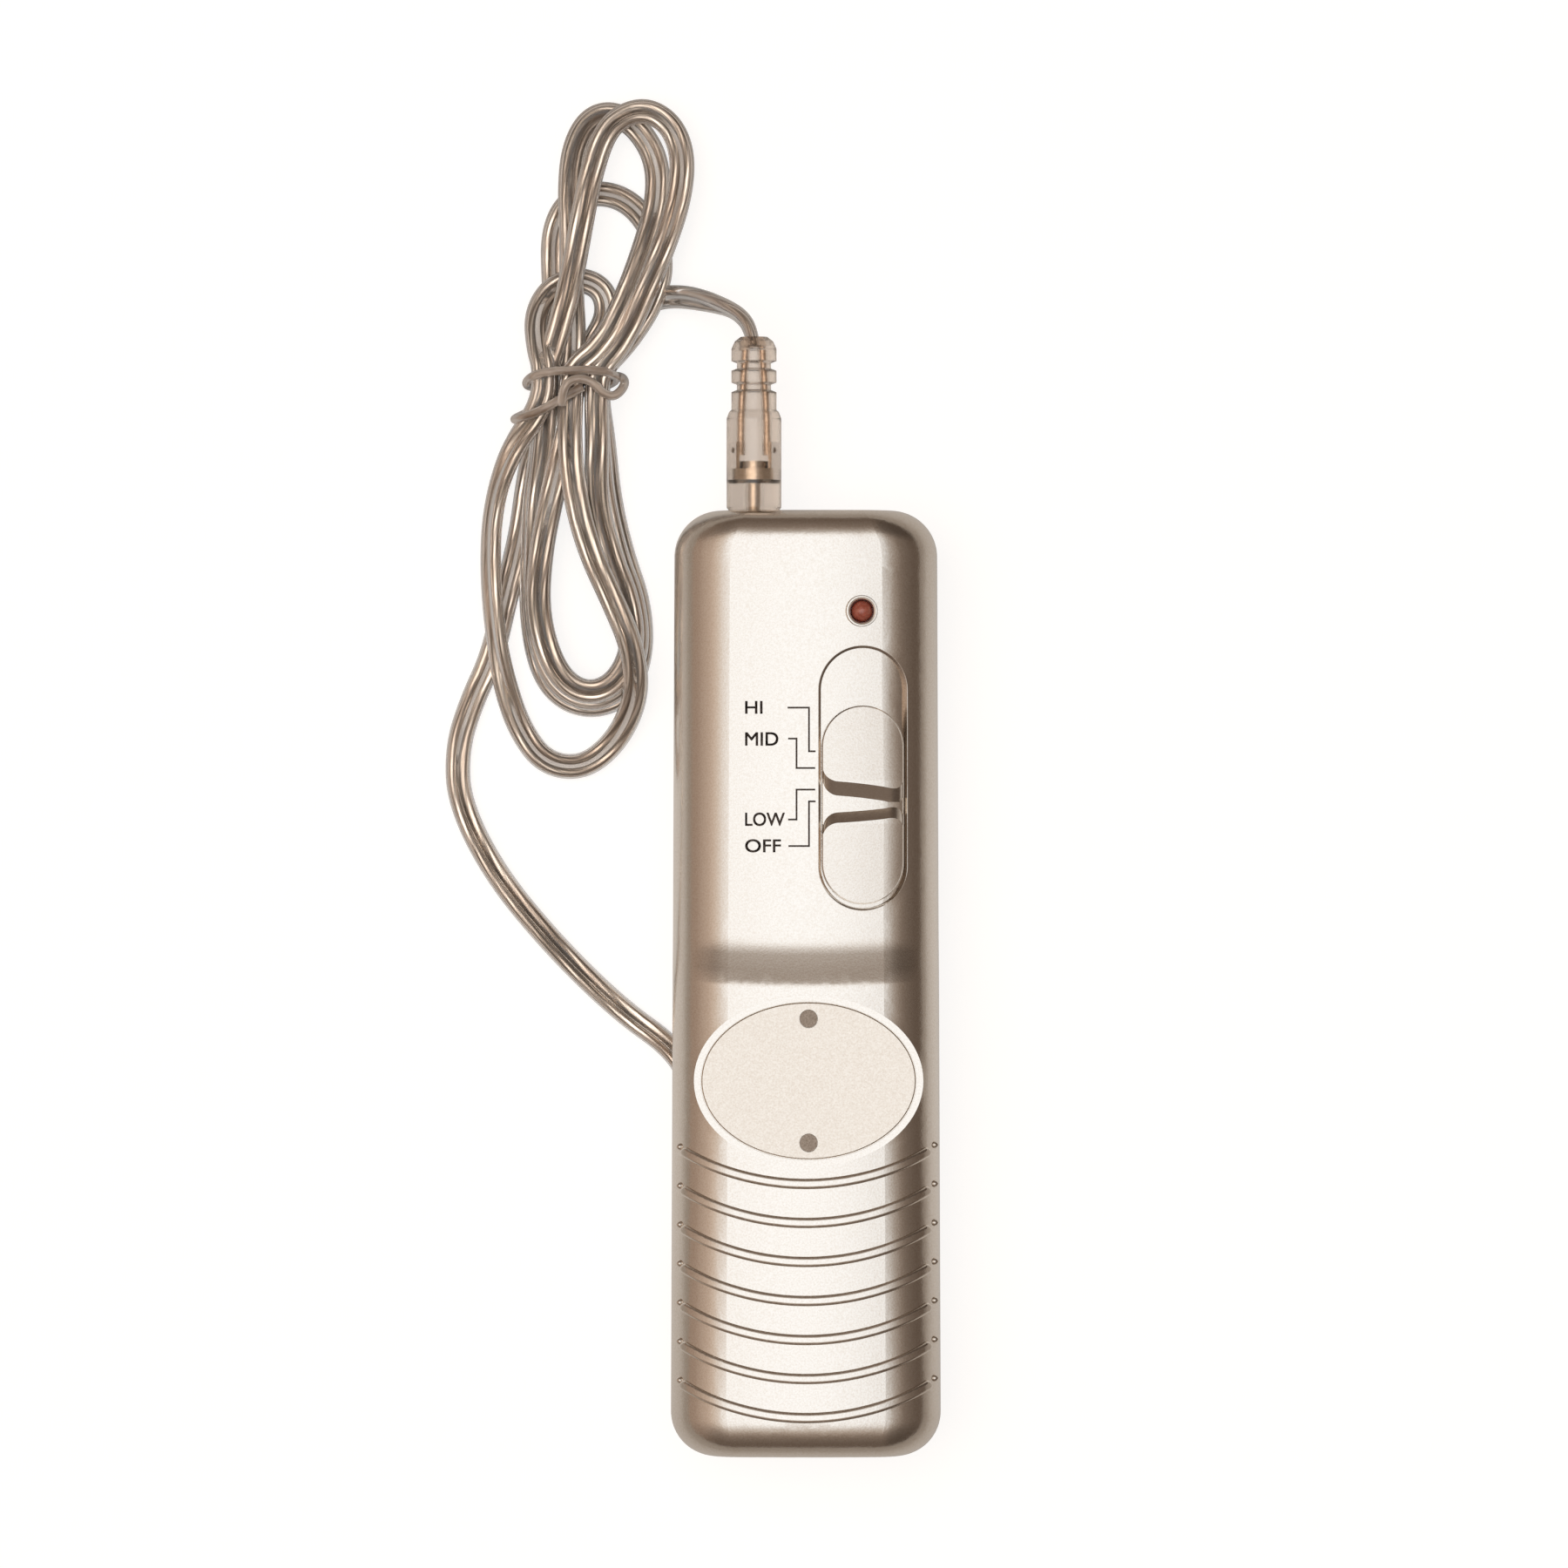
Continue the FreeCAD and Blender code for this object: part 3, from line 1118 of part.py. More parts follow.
HANK_LOWER_HOLE = [(-32.6, 66.4), (-29.6, 57.2), (-27.0, 48.2), (-28.6, 41.8),
                   (-33.0, 44.6), (-34.6, 54.4)]


def cord_hank():
    """The outer shape of the folded turns, with the eyes of its two loops."""
    plate = outline_face(HANK_OUTLINE).extrude(Vector(0, 0, HANK_HEIGHT))
    for hole in (HANK_UPPER_HOLE, HANK_LOWER_HOLE):
        eye = outline_face(hole)
        eye.translate(Vector(0, 0, -1))
        plate = plate.cut(eye.extrude(Vector(0, 0, HANK_HEIGHT + 2)))
    half = TIE_SPACING / 2 + TIE_WIRE
    around = box(-60, 0, TIE_Y - half, TIE_Y + half, -1, HANK_HEIGHT + 1)
    low, high = TIE_WIRE + SEAT_GAP, HANK_HEIGHT - TIE_WIRE
    neck = box(TIE_X - TIE_WIDTH / 2, TIE_X + TIE_WIDTH / 2, TIE_Y - half, TIE_Y + half,
               low, high)
    return plate.cut(around).fuse(neck)


def cord_tie():
    """Two wraps of clear strand round the neck, with a small knot beside them."""
    gap = 0.05
    left, right = TIE_X - TIE_WIDTH / 2 - gap, TIE_X + TIE_WIDTH / 2 + gap
    low, high = TIE_WIRE + SEAT_GAP - gap, HANK_HEIGHT - TIE_WIRE + gap
    wraps = []
    for side in (-1, 1):
        y = TIE_Y + side * TIE_SPACING / 2
        outer = box(left - TIE_WIRE, right + TIE_WIRE, y - TIE_WIRE / 2, y + TIE_WIRE / 2,
                    low - TIE_WIRE, high + TIE_WIRE)
        bars = [e for e in outer.Edges if e.BoundBox.YLength > TIE_WIRE * 0.9]
        wraps.append(outer.makeFillet(TIE_WIRE, bars).cut(
            box(left, right, y - TIE_WIRE, y + TIE_WIRE, low, high)))
    knot = Part.makeSphere(KNOT_RADIUS, Vector(right + KNOT_RADIUS, TIE_Y, high - 0.6))
    return fuse(wraps + [knot])


def connector_body(flex):
    end = Vector(*LEAD_OUT[-1])
    profile = [(0, end.y + 1.2), (1.72, end.y + 1.2), (CONNECTOR_RADIUS, end.y - 2.2),
               (CONNECTOR_RADIUS, end.y - CONNECTOR_LENGTH + 0.4),
               (CONNECTOR_RADIUS - 0.3, end.y - CONNECTOR_LENGTH), (0, end.y - CONNECTOR_LENGTH)]
    return revolved(profile, end.x, CONNECTOR_RADIUS + 0.05).cut(flex)


def connector_pin():
    end = Vector(*LEAD_OUT[-1])
    y1 = end.y - CONNECTOR_LENGTH
    z = CONNECTOR_RADIUS + 0.05
    shaft = rod_y(CONNECTOR_PIN_RADIUS, end.x, z, y1 - CONNECTOR_PIN, y1)
    tip = Part.makeSphere(CONNECTOR_PIN_RADIUS, Vector(end.x, y1 - CONNECTOR_PIN, z))
    return shaft.fuse(tip)


# ---- inner wires ------------------------------------------------------------------------------------------
def wire_board_ends():
    return [(-2.0, 10.4), (4.0, 10.4), (-8.6, 46.0), (-3.6, 45.6)]


def battery_wires():
    """Red and black leads from the tails of the two top contacts up to the board."""
    low = BOARD_LOW_Z - 1.4
    y = BAY_TOP_Y + BAY_END_WALL + TAIL_REACH + RUNNING
    wires = []
    for x, bend_x, end in ((-CELL_X, -4.2, 0), (CELL_X, 5.6, 1)):
        end_x, end_y = wire_board_ends()[end]
        wires.append(tube([(x, y, TAIL_Z), (x, y + 1.6, TAIL_Z + 0.3), (bend_x, end_y - 3.0, 9.4),
                           (end_x, end_y, low), (end_x, end_y + 0.02, BOARD_TOP_Z)],
                          BATTERY_WIRE))
    return wires


def jack_wires():
    """Two short leads from the board, each laid under one of the jack's tails."""
    low = BOARD_LOW_Z - 2.2
    end_z = JACK_TAIL_Z - JACK_WIRE / 2 - RUNNING
    tails = [(JACK_X - 1.0, JACK_Y0 + 2.3), (JACK_X + 1.0, JACK_Y0 - 0.2)]
    wires = []
    for (x, y), (tail_x, tail_y) in zip(wire_board_ends()[2:], tails):
        wires.append(tube([(x, y, BOARD_TOP_Z), (x, y + 0.02, low),
                           (tail_x, tail_y - 2.6, end_z - 0.4), (tail_x, tail_y, end_z)],
                          JACK_WIRE))
    return wires


def battery_contacts():
    """The bridge plate at the foot of the bay, and the two plates with the springs."""
    low = BAY_LOW_Y
    high = BAY_TOP_Y - CONTACT_THICKNESS
    inner, outer = 2.6, BAY_HALF_WIDTH - 2.4
    bridge = contact_plate(-outer, outer, low)
    plus = contact_plate(-outer, -inner, high).fuse(tail_box(-CELL_X))
    minus = contact_plate(inner, outer, high).fuse(tail_box(CELL_X))
    springs = [contact_spring(-CELL_X, low + CONTACT_THICKNESS, 1),
               contact_spring(CELL_X, high, -1)]
    return bridge, plus, minus, springs


def build_all():
    outer = envelope(0.0)
    inner = envelope(WALL)
    trim = envelope(WALL / 2)
    save("front_shell", front_shell(outer, inner, trim))
    save("back_shell", planed(back_shell(outer, inner, trim)))
    save("battery_door", planed(battery_door(outer, inner)))
    save("case_screws", case_screws())
    save("badge_plate", badge_plate())
    save("badge_pins", badge_pins())

    save("slider_knob", slider_knob())
    save("slider_retainer", slider_retainer())
    save("switch_actuator", switch_actuator())
    save("switch_wiper", switch_wiper())
    save("switch_shell", switch_shell())
    save("switch_base", switch_base())
    save("switch_terminals", together(terminal_pins()))

    save("circuit_board", circuit_board())
    save("board_screws", board_screws())
    save("lamp_body", lamp_body())
    save("lamp_leads", together(lamp_leads()))
    parts = resistors()
    save("resistor_bodies", together([body for body, legs in parts]))
    save("resistor_leads", together([leg for body, legs in parts for leg in legs]))
    save("driver_transistor", driver_transistor())

    save("cell_left", cell(-CELL_X, True))
    save("cell_right", cell(CELL_X, False))
    bridge, plus, minus, springs = battery_contacts()
    save("contact_bridge", bridge)
    save("contact_plus", plus)
    save("contact_minus", minus)
    save("battery_springs", together(springs))
    red, black = battery_wires()
    save("wire_red", red)
    save("wire_black", black)
    save("jack_socket", jack_socket())
    save("jack_contacts", jack_contacts())
    save("jack_wires", together(jack_wires()))

    flex_in, flex_out = lead_in(), lead_out()
    pin, lugs = plug_pin(), plug_lugs()
    cores = plug_conductors().cut(lugs).cut(flex_in)
    save("plug_body", plug_body(together([pin, lugs, cores]), flex_in))
    save("plug_pin", pin)
    save("plug_lugs", lugs)
    save("plug_conductors", cores)
    save("cord_lead_in", flex_in)
    save("cord_lead_out", flex_out)
    save("cord_hank", cord_hank())
    save("cord_tie", cord_tie())
    save("connector_body", connector_body(flex_out))
    save("connector_pin", connector_pin())


if __name__ == "__main__":
    os.makedirs("parts", exist_ok=True)
    build_all()
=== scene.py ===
"""Corded hand controller: champagne case, slide switch, badge and hanked clear twin lead.

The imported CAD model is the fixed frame. This script gives every node its real finish, puts the
twin flex with its two cores and its tie in place of the lead's plain solids, and adds the small
moulded edges and the printed legend.
"""
# ruff: noqa: E402

import logging
from dataclasses import dataclass
from enum import Enum
from functools import cached_property
from math import copysign, cos, pi, radians, sin, sqrt
from typing import ClassVar

import bpy
from bpy.types import Curve, Material, Node, NodeSocket, NodeTree, Object
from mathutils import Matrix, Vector
from mathutils.bvhtree import BVHTree


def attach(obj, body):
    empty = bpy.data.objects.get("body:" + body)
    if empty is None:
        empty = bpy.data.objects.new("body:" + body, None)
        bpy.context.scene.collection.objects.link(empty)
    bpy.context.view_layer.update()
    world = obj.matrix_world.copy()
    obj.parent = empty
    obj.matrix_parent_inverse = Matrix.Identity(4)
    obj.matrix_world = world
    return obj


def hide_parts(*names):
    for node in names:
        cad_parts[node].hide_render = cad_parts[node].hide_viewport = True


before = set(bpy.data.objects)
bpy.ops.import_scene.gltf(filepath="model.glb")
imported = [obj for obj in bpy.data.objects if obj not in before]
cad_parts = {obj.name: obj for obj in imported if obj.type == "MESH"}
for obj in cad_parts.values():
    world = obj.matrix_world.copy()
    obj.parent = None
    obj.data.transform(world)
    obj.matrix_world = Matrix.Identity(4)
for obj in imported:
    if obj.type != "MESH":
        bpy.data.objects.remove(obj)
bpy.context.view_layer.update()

MM = 0.001
DOWN = Vector((0, 0, -1))
# Height in metres from which a ray looks down at the object.
LOOKOUT = 0.05
# Corners of a face between two rings, as (rings on, corners on).
FOUR_WAY = ((0, 0), (0, 1), (1, 1), (1, 0))
LOG = logging.getLogger("controller")


class Body(Enum):
    """The bodies that the new pieces ride on."""

    CASE = "root"
    SLIDER = "slider"
    LEAD = "lead"


def linear(code: str) -> tuple[float, float, float, float]:
    """Turns an sRGB hex colour into linear light.

    Args:
        code: Colour as "#RRGGBB".

    Returns:
        Red, green, blue and alpha, each from 0 to 1.
    """
    parts = [int(code[i : i + 2], 16) / 255 for i in (1, 3, 5)]
    light = [p / 12.92 if p <= 0.04045 else ((p + 0.055) / 1.055) ** 2.4 for p in parts]
    return (*light, 1.0)


def steps_round(count: int) -> list[tuple[float, float]]:
    """Even steps once round a circle, as the cosine and sine of each step's angle."""
    return [(cos(2 * pi * k / count), sin(2 * pi * k / count)) for k in range(count)]


def add_node(
    tree: NodeTree,
    kind: str,
    settings: dict | None = None,
    inputs: dict | None = None,
    stops: tuple = (),
) -> Node:
    """Adds one shader node with its settings and its links.

    Args:
        tree: Node tree that takes the node.
        kind: Node type without its "ShaderNode" prefix.
        settings: Property names and values.
        inputs: Socket names or numbers, each with a value or with a socket to link from.
        stops: (position, colour) pairs for a node that has a colour ramp.

    Returns:
        The new node.
    """
    node = tree.nodes.new("ShaderNode" + kind)
    for name, value in (settings or {}).items():
        setattr(node, name, value)
    for key, value in (inputs or {}).items():
        if isinstance(value, NodeSocket):
            tree.links.new(value, node.inputs[key])
        else:
            node.inputs[key].default_value = value
    if stops:
        elements = node.color_ramp.elements
        while len(elements) < len(stops):
            elements.new(1.0)
        for element, (position, colour) in zip(elements, stops):
            element.position = position
            element.color = linear(colour) if isinstance(colour, str) else colour
    return node


# ---- finishes ----


@dataclass(frozen=True)
class Finish:
    """What every finish has: its real name, its colour and how rough its surface is."""

    name: str
    colour: str
    roughness: float

    @cached_property
    def blank(self) -> Material:
        """Starts the material, once, with one surface shader.

        Returns:
            The material, still plain.
        """
        blank = bpy.data.materials.new(self.name)
        blank.use_nodes = True
        blank.diffuse_color = linear(self.colour)
        return blank

    @cached_property
    def material(self) -> Material:
        """Works the material out when a piece first asks for it.

        Returns:
            The material with all that the finish has.
        """
        self.fix({"Base Color": linear(self.colour), "Roughness": self.roughness})
        self.work()
        return self.blank

    @property
    def tree(self) -> NodeTree:
        """The material's node tree."""
        return self.blank.node_tree

    @property
    def shader(self) -> Node:
        """The material's surface shader."""
        return self.tree.nodes["Principled BSDF"]

    def work(self) -> None:
        """Adds what the finish has over an even surface."""

    def fix(self, values: dict) -> None:
        """Sets constants on the shader's sockets, from a dictionary of their names and values."""
        for name, value in values.items():
            self.shader.inputs[name].default_value = value

    def noise(self, place: NodeSocket, scale: tuple, detail: float) -> NodeSocket:
        """Noise in given coordinates.

        Args:
            place: Socket with the coordinates.
            scale: How many cells there are in each unit of each coordinate.
            detail: How many finer layers lie on it.

        Returns:
            Socket with the noise, from 0 to 1.
        """
        spread = add_node(self.tree, "Mapping", inputs={"Vector": place, "Scale": scale})
        inputs = {"Vector": spread.outputs["Vector"], "Scale": 1.0, "Detail": detail}
        return add_node(self.tree, "TexNoise", inputs=inputs).outputs[0]

    def grain(self, size_mm: float, detail: float = 2.0, stretch: tuple = (1, 1, 1)) -> NodeSocket:
        """Fine irregular grain in object space.

        Args:
            size_mm: Width of one grain in millimetres.
            detail: How many finer layers lie on it.
            stretch: How many times longer a grain is along each axis.

        Returns:
            Socket with the grain's height, from 0 to 1.
        """
        place = add_node(self.tree, "TexCoord").outputs["Object"]
        return self.noise(place, tuple(1 / (size_mm * MM * s) for s in stretch), detail)

    def streaks(self, across: float, length_mm: float, detail: float = 2.0) -> NodeSocket:
        """Streaks that run along a swept piece, in its own round-and-along coordinates.

        Args:
            across: How many streaks go once round the piece.
            length_mm: Length of a streak in millimetres.
            detail: How many finer layers lie on it.

        Returns:
            Socket with the streaks' height, from 0 to 1.
        """
        place = add_node(self.tree, "TexCoord").outputs["UV"]
        return self.noise(place, (across, 1 / (length_mm * MM), 1.0), detail)

    def bump(self, height: NodeSocket, depth_mm: float, share: float = 1.0) -> None:
        """Lets a height pattern stand out of the surface.

        Args:
            height: Socket with the pattern.
            depth_mm: Real depth of the pattern in millimetres.
            share: How much of it shows.
        """
        inputs = {"Strength": share, "Distance": depth_mm * MM, "Height": height}
        relief = add_node(self.tree, "Bump", inputs=inputs)
        self.tree.links.new(relief.outputs["Normal"], self.shader.inputs["Normal"])


@dataclass(frozen=True)
class ShadedFinish(Finish):
    """Finish whose colour changes, with a pattern, between its own and a second one."""

    shade: str
    # Level of the pattern that gives the second colour, and level that gives its own.
    levels: ClassVar[tuple] = (0.3, 0.7)

    def tint(self, pattern: NodeSocket) -> None:
        """Lets the colour follow a pattern.

        Args:
            pattern: Socket with the pattern.
        """
        stops = tuple(sorted(zip(self.levels, (self.shade, self.colour))))
        tone = add_node(self.tree, "ValToRGB", inputs={"Fac": pattern}, stops=stops)
        self.tree.links.new(tone.outputs["Color"], self.shader.inputs["Base Color"])


@dataclass(frozen=True)
class MetallicPaint(ShadedFinish):
    """Sprayed lacquer with aluminium flake over moulded ABS.

    Real flake is about 0.03 mm wide; it is drawn at flake_mm so that its sparkle still shows.
    """

    flake_mm: float = 0.25
    depth_mm: float = 0.013
    relief: float = 0.7
    levels: ClassVar[tuple] = (0.3, 0.62)

    def work(self) -> None:
        """Builds the paint."""
        self.fix({"Metallic": 1.0})
        flake = self.grain(self.flake_mm, detail=3.0)
        self.tint(flake)
        self.bump(flake, self.depth_mm, self.relief)


@dataclass(frozen=True)
class PlatedMetal(ShadedFinish):
    """Drawn, rolled or turned metal with fine lines or grain left by its making."""

    grain_mm: float = 0.3
    stretch: tuple = (1.0, 1.0, 1.0)
    depth_mm: float = 0.004

    def work(self) -> None:
        """Builds the metal."""
        self.fix({"Metallic": 1.0})
        lines = self.grain(self.grain_mm, 3.0, self.stretch)
        self.tint(lines)
        self.bump(lines, self.depth_mm)


@dataclass(frozen=True)
class ClearVinyl(Finish):
    """Extruded or moulded clear soft PVC, slightly warm and never quite smooth."""

    ripple_mm: float = 2.0
    depth_mm: float = 0.08
    relief: float = 0.6
    ior: float = 1.53

    def work(self) -> None:
        """Builds the vinyl."""
        self.fix({"Transmission Weight": 1.0, "IOR": self.ior})
        self.bump(self.grain(self.ripple_mm, detail=1.0), self.depth_mm, self.relief)


@dataclass(frozen=True)
class DrawnVinyl(ShadedFinish):
    """Clear soft PVC drawn through a die, with faint lines along it and a little haze."""

    clear: float = 0.8
    lines: float = 9.0
    line_mm: float = 14.0
    depth_mm: float = 0.05
    relief: float = 0.7
    ior: float = 1.53
    levels: ClassVar[tuple] = (0.36, 0.62)

    def work(self) -> None:
        """Builds the vinyl."""
        self.fix({"Transmission Weight": self.clear, "IOR": self.ior})
        lines = self.streaks(self.lines, self.line_mm)
        self.tint(lines)
        self.bump(lines, self.depth_mm, self.relief)


@dataclass(frozen=True)
class StrandedWire(ShadedFinish):
    """Fine wires bunched with a long lay, drawn coarser than their real 0.1 mm."""

    wires: float = 7.0
    wire_mm: float = 22.0
    depth_mm: float = 0.12
    relief: float = 0.8
    levels: ClassVar[tuple] = (0.4, 0.6)

    def work(self) -> None:
        """Builds the bunched wire."""
        self.fix({"Metallic": 1.0})
        wires = self.streaks(self.wires, self.wire_mm, detail=3.0)
        self.tint(wires)
        self.bump(wires, self.depth_mm, self.relief)


@dataclass(frozen=True)
class MouldedPlastic(Finish):
    """Injection-moulded plastic with the light spark-eroded texture of its tool."""

    texture_mm: float = 0.3
    depth_mm: float = 0.01
    ior: float = 1.49
    # How far the texture takes its roughness down and up.
    spread: tuple = (-0.05, 0.1)

    def work(self) -> None:
        """Builds the plastic."""
        self.fix({"IOR": self.ior})
        texture = self.grain(self.texture_mm)
        low, high = (self.roughness + v for v in self.spread)
        inputs = {"Value": texture, "To Min": low, "To Max": high}
        dull = add_node(self.tree, "MapRange", inputs=inputs)
        self.tree.links.new(dull.outputs["Result"], self.shader.inputs["Roughness"])
        self.bump(texture, self.depth_mm)


@dataclass(frozen=True)
class DiffusedLens(ShadedFinish):
    """Cast epoxy of an indicator lamp, tinted through and a little cloudy."""

    cloud_mm: float = 0.6
    cloudy: float = 0.3
    spread_mm: tuple = (0.8, 0.2, 0.15)
    gloss: float = 0.9
    ior: float = 1.53
    levels: ClassVar[tuple] = (0.75, 0.3)

    def work(self) -> None:
        """Builds the lens."""
        self.fix({"IOR": self.ior, "Subsurface Weight": self.cloudy, "Coat Weight": self.gloss})
        self.fix({"Subsurface Radius": tuple(v * MM for v in self.spread_mm)})
        self.tint(self.grain(self.cloud_mm))


@dataclass(frozen=True)
class PaperLaminate(ShadedFinish):
    """Pressed phenolic paper board, with the cloudy fibre of the paper."""

    fibre_mm: float = 0.8
    stretch: tuple = (3.0, 1.0, 1.0)
    levels: ClassVar[tuple] = (0.35, 0.7)

    def work(self) -> None:
        """Builds the laminate."""
        self.tint(self.grain(self.fibre_mm, 4.0, self.stretch))


@dataclass(frozen=True)
class PrintedInk(ShadedFinish):
    """Pad-printed ink, a thin matt film with slightly uneven cover."""

    patch_mm: float = 0.35
    levels: ClassVar[tuple] = (0.25, 0.5)

    def work(self) -> None:
        """Builds the ink."""
        self.tint(self.grain(self.patch_mm))


PAINT = MetallicPaint("champagne_lacquer_on_abs", "#F8F1E8", 0.2, "#EEE4D8")
BADGE = PlatedMetal("satin_anodised_aluminium", "#FFF6EA", 0.3, "#ECDFD0", 0.2)
PIN = PlatedMetal("turned_nickel_silver", "#B5A494", 0.38, "#8E7D6E", 0.2)
LUG = PlatedMetal("tinned_brass_lug", "#DDD2C6", 0.5, "#BFB2A3", 0.3)
SCREW = PlatedMetal("zinc_plated_steel", "#B9BBBE", 0.32, "#96989C", 0.3)
SHEET = PlatedMetal("tinned_sheet_steel", "#C8C8C6", 0.25, "#ACACAA", 0.4, (1.0, 8.0, 1.0))
SPRING = PlatedMetal("nickel_plated_spring_wire", "#D0D0CC", 0.2, "#B0AEA8", 0.3)
CONTACT = PlatedMetal(
    "nickel_plated_contact_strip", "#D2D0C8", 0.24, "#B8B4AA", 0.4, (6.0, 1.0, 1.0)
)
BRASS = PlatedMetal("rolled_brass_strip", "#D9B56A", 0.26, "#B8914A", 0.4, (1.0, 6.0, 1.0))
TINNED = PlatedMetal("tinned_copper_wire", "#CFCDC8", 0.3, "#AEAAA2", 0.2)
BLACK = MouldedPlastic("black_glass_filled_nylon", "#1E1E20", 0.5)
BOARD = PaperLaminate("phenolic_paper_laminate", "#B9965A", 0.5, "#A37F45")
LENS = DiffusedLens("red_diffused_epoxy", "#9A4C3C", 0.12, "#B96E5C")
CERAMIC = PaperLaminate("lacquered_resistor_ceramic", "#CDBB98", 0.4, "#BFA980")
CAN = PlatedMetal("lacquered_cell_can", "#5C6166", 0.3, "#4C5055", 0.5, (1.0, 10.0, 1.0))
RED = MouldedPlastic("red_pvc_insulation", "#A81E18", 0.35, 0.6)
DARK = MouldedPlastic("black_pvc_insulation", "#17171A", 0.35, 0.6)
PALE = MouldedPlastic("white_pvc_insulation", "#DEDCD4", 0.35, 0.6)
MOULDING = ClearVinyl("clear_moulded_pvc", "#E9DBCE", 0.22)
FLEX = DrawnVinyl("clear_extruded_pvc", "#F3EBE3", 0.1, "#C3B3A6", 0.88)
STRAND = DrawnVinyl("clear_soft_strand", "#E8DACD", 0.14, "#94806F", 0.55, 3.0, 5.0)
NICKEL = PlatedMetal("nickel_plated_plug_pin", "#DAD2C6", 0.3, "#B9AF9F", 0.25)
COPPER = PlatedMetal("tinned_copper_strand", "#F0E4D8", 0.4, "#BCA896", 0.35)
CORE = StrandedWire("bunched_tinned_copper", "#F7EFE6", 0.3, "#706456")
INK = PrintedInk("dark_pad_printed_ink", "#3E342E", 0.6, "#5A4E46")

NODE_FINISHES = {
    name: finish
    for finish, names in (
        (PAINT, "front_shell back_shell battery_door slider_knob"),
        (BADGE, "badge_plate"),
        (PIN, "badge_pins"),
        (SCREW, "case_screws board_screws"),
        (SPRING, "slider_retainer battery_springs"),
        (SHEET, "switch_shell"),
        (BLACK, "switch_base switch_actuator driver_transistor jack_socket"),
        (BRASS, "switch_wiper jack_contacts"),
        (TINNED, "switch_terminals lamp_leads resistor_leads"),
        (BOARD, "circuit_board"),
        (LENS, "lamp_body"),
        (CERAMIC, "resistor_bodies"),
        (CAN, "cell_left cell_right"),
        (CONTACT, "contact_bridge contact_plus contact_minus"),
        (RED, "wire_red"),
        (DARK, "wire_black"),
        (PALE, "jack_wires"),
        (MOULDING, "plug_body connector_body"),
        (NICKEL, "plug_pin connector_pin"),
        (LUG, "plug_lugs"),
        (COPPER, "plug_conductors"),
    )
    for name in names.split()
}


# ---- mesh helpers ----


def make_piece(
    name: str, points: list, faces: list, finish: Material, smooth: bool = True
) -> Object:
    """Makes a mesh piece.

    Args:
        name: Name of the piece.
        points: Places of its corners in metres.
        faces: Corner numbers of each face.
        finish: Material of the piece.
        smooth: Whether its faces run softly into each other.

    Returns:
        The new object, in the scene.
    """
    mesh = bpy.data.meshes.new(name)
    mesh.from_pydata([tuple(p) for p in points], [], faces)
    mesh.materials.append(finish)
    mesh.polygons.foreach_set("use_smooth", [smooth] * len(mesh.polygons))
    mesh.update()
    piece = bpy.data.objects.new(name, mesh)
    bpy.context.scene.collection.objects.link(piece)
    return piece


def band_faces(rings: int, count: int, base: int = 0, closed: bool = False) -> list[tuple]:
    """Joins each ring of corners to the next one.

    Args:
        rings: How many rings there are.
        count: Corners of each ring.
        base: Number of the first corner.
        closed: Whether the last ring is joined to the first.

    Returns:
        Corner numbers of each face.
    """
    return [
        tuple(base + (r + i) % rings * count + (k + j) % count for i, j in FOUR_WAY)
        for r in range(rings if closed else rings - 1)
        for k in range(count)
    ]


def read_curve(curve: Curve) -> tuple[list[Vector], list[tuple]]:
    """Reads the mesh that a curve makes, and removes the curve.

    Args:
        curve: A spline or a word.

    Returns:
        Its points and faces.
    """
    holder = bpy.data.objects.new(curve.name, curve)
    bpy.context.scene.collection.objects.link(holder)
    graph = bpy.context.evaluated_depsgraph_get()
    mesh = bpy.data.meshes.new_from_object(holder.evaluated_get(graph))
    points = [v.co.copy() for v in mesh.vertices]
    faces = [tuple(p.vertices) for p in mesh.polygons]
    bpy.data.objects.remove(holder)
    bpy.data.curves.remove(curve)
    bpy.data.meshes.remove(mesh)
    return points, faces


def surface_of(node: str) -> BVHTree:
    """Makes a tree that tells where a CAD node's surface lies.

    Args:
        node: Name of the node.

    Returns:
        The tree.
    """
    graph = bpy.context.evaluated_depsgraph_get()
    return BVHTree.FromObject(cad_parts[node], graph)


def spline_points(name: str, route_mm: list, resolution: int) -> list[Vector]:
    """Reads the line of a NURBS spline whose control points are the route's.

    Args:
        name: Name of the spline.
        route_mm: Places of the control points in millimetres.
        resolution: Points of the line from one control point to the next.

    Returns:
        Places along the line, in metres.
    """
    curve = bpy.data.curves.new(name, "CURVE")
    curve.dimensions = "3D"
    curve.resolution_u = resolution
    spline = curve.splines.new("NURBS")
    spline.points.add(len(route_mm) - 1)
    for point, place in zip(spline.points, route_mm):
        point.co = (place[0] * MM, place[1] * MM, place[2] * MM, 1.0)
    spline.order_u = 3
    spline.use_endpoint_u = True
    line, _ = read_curve(curve)
    return line


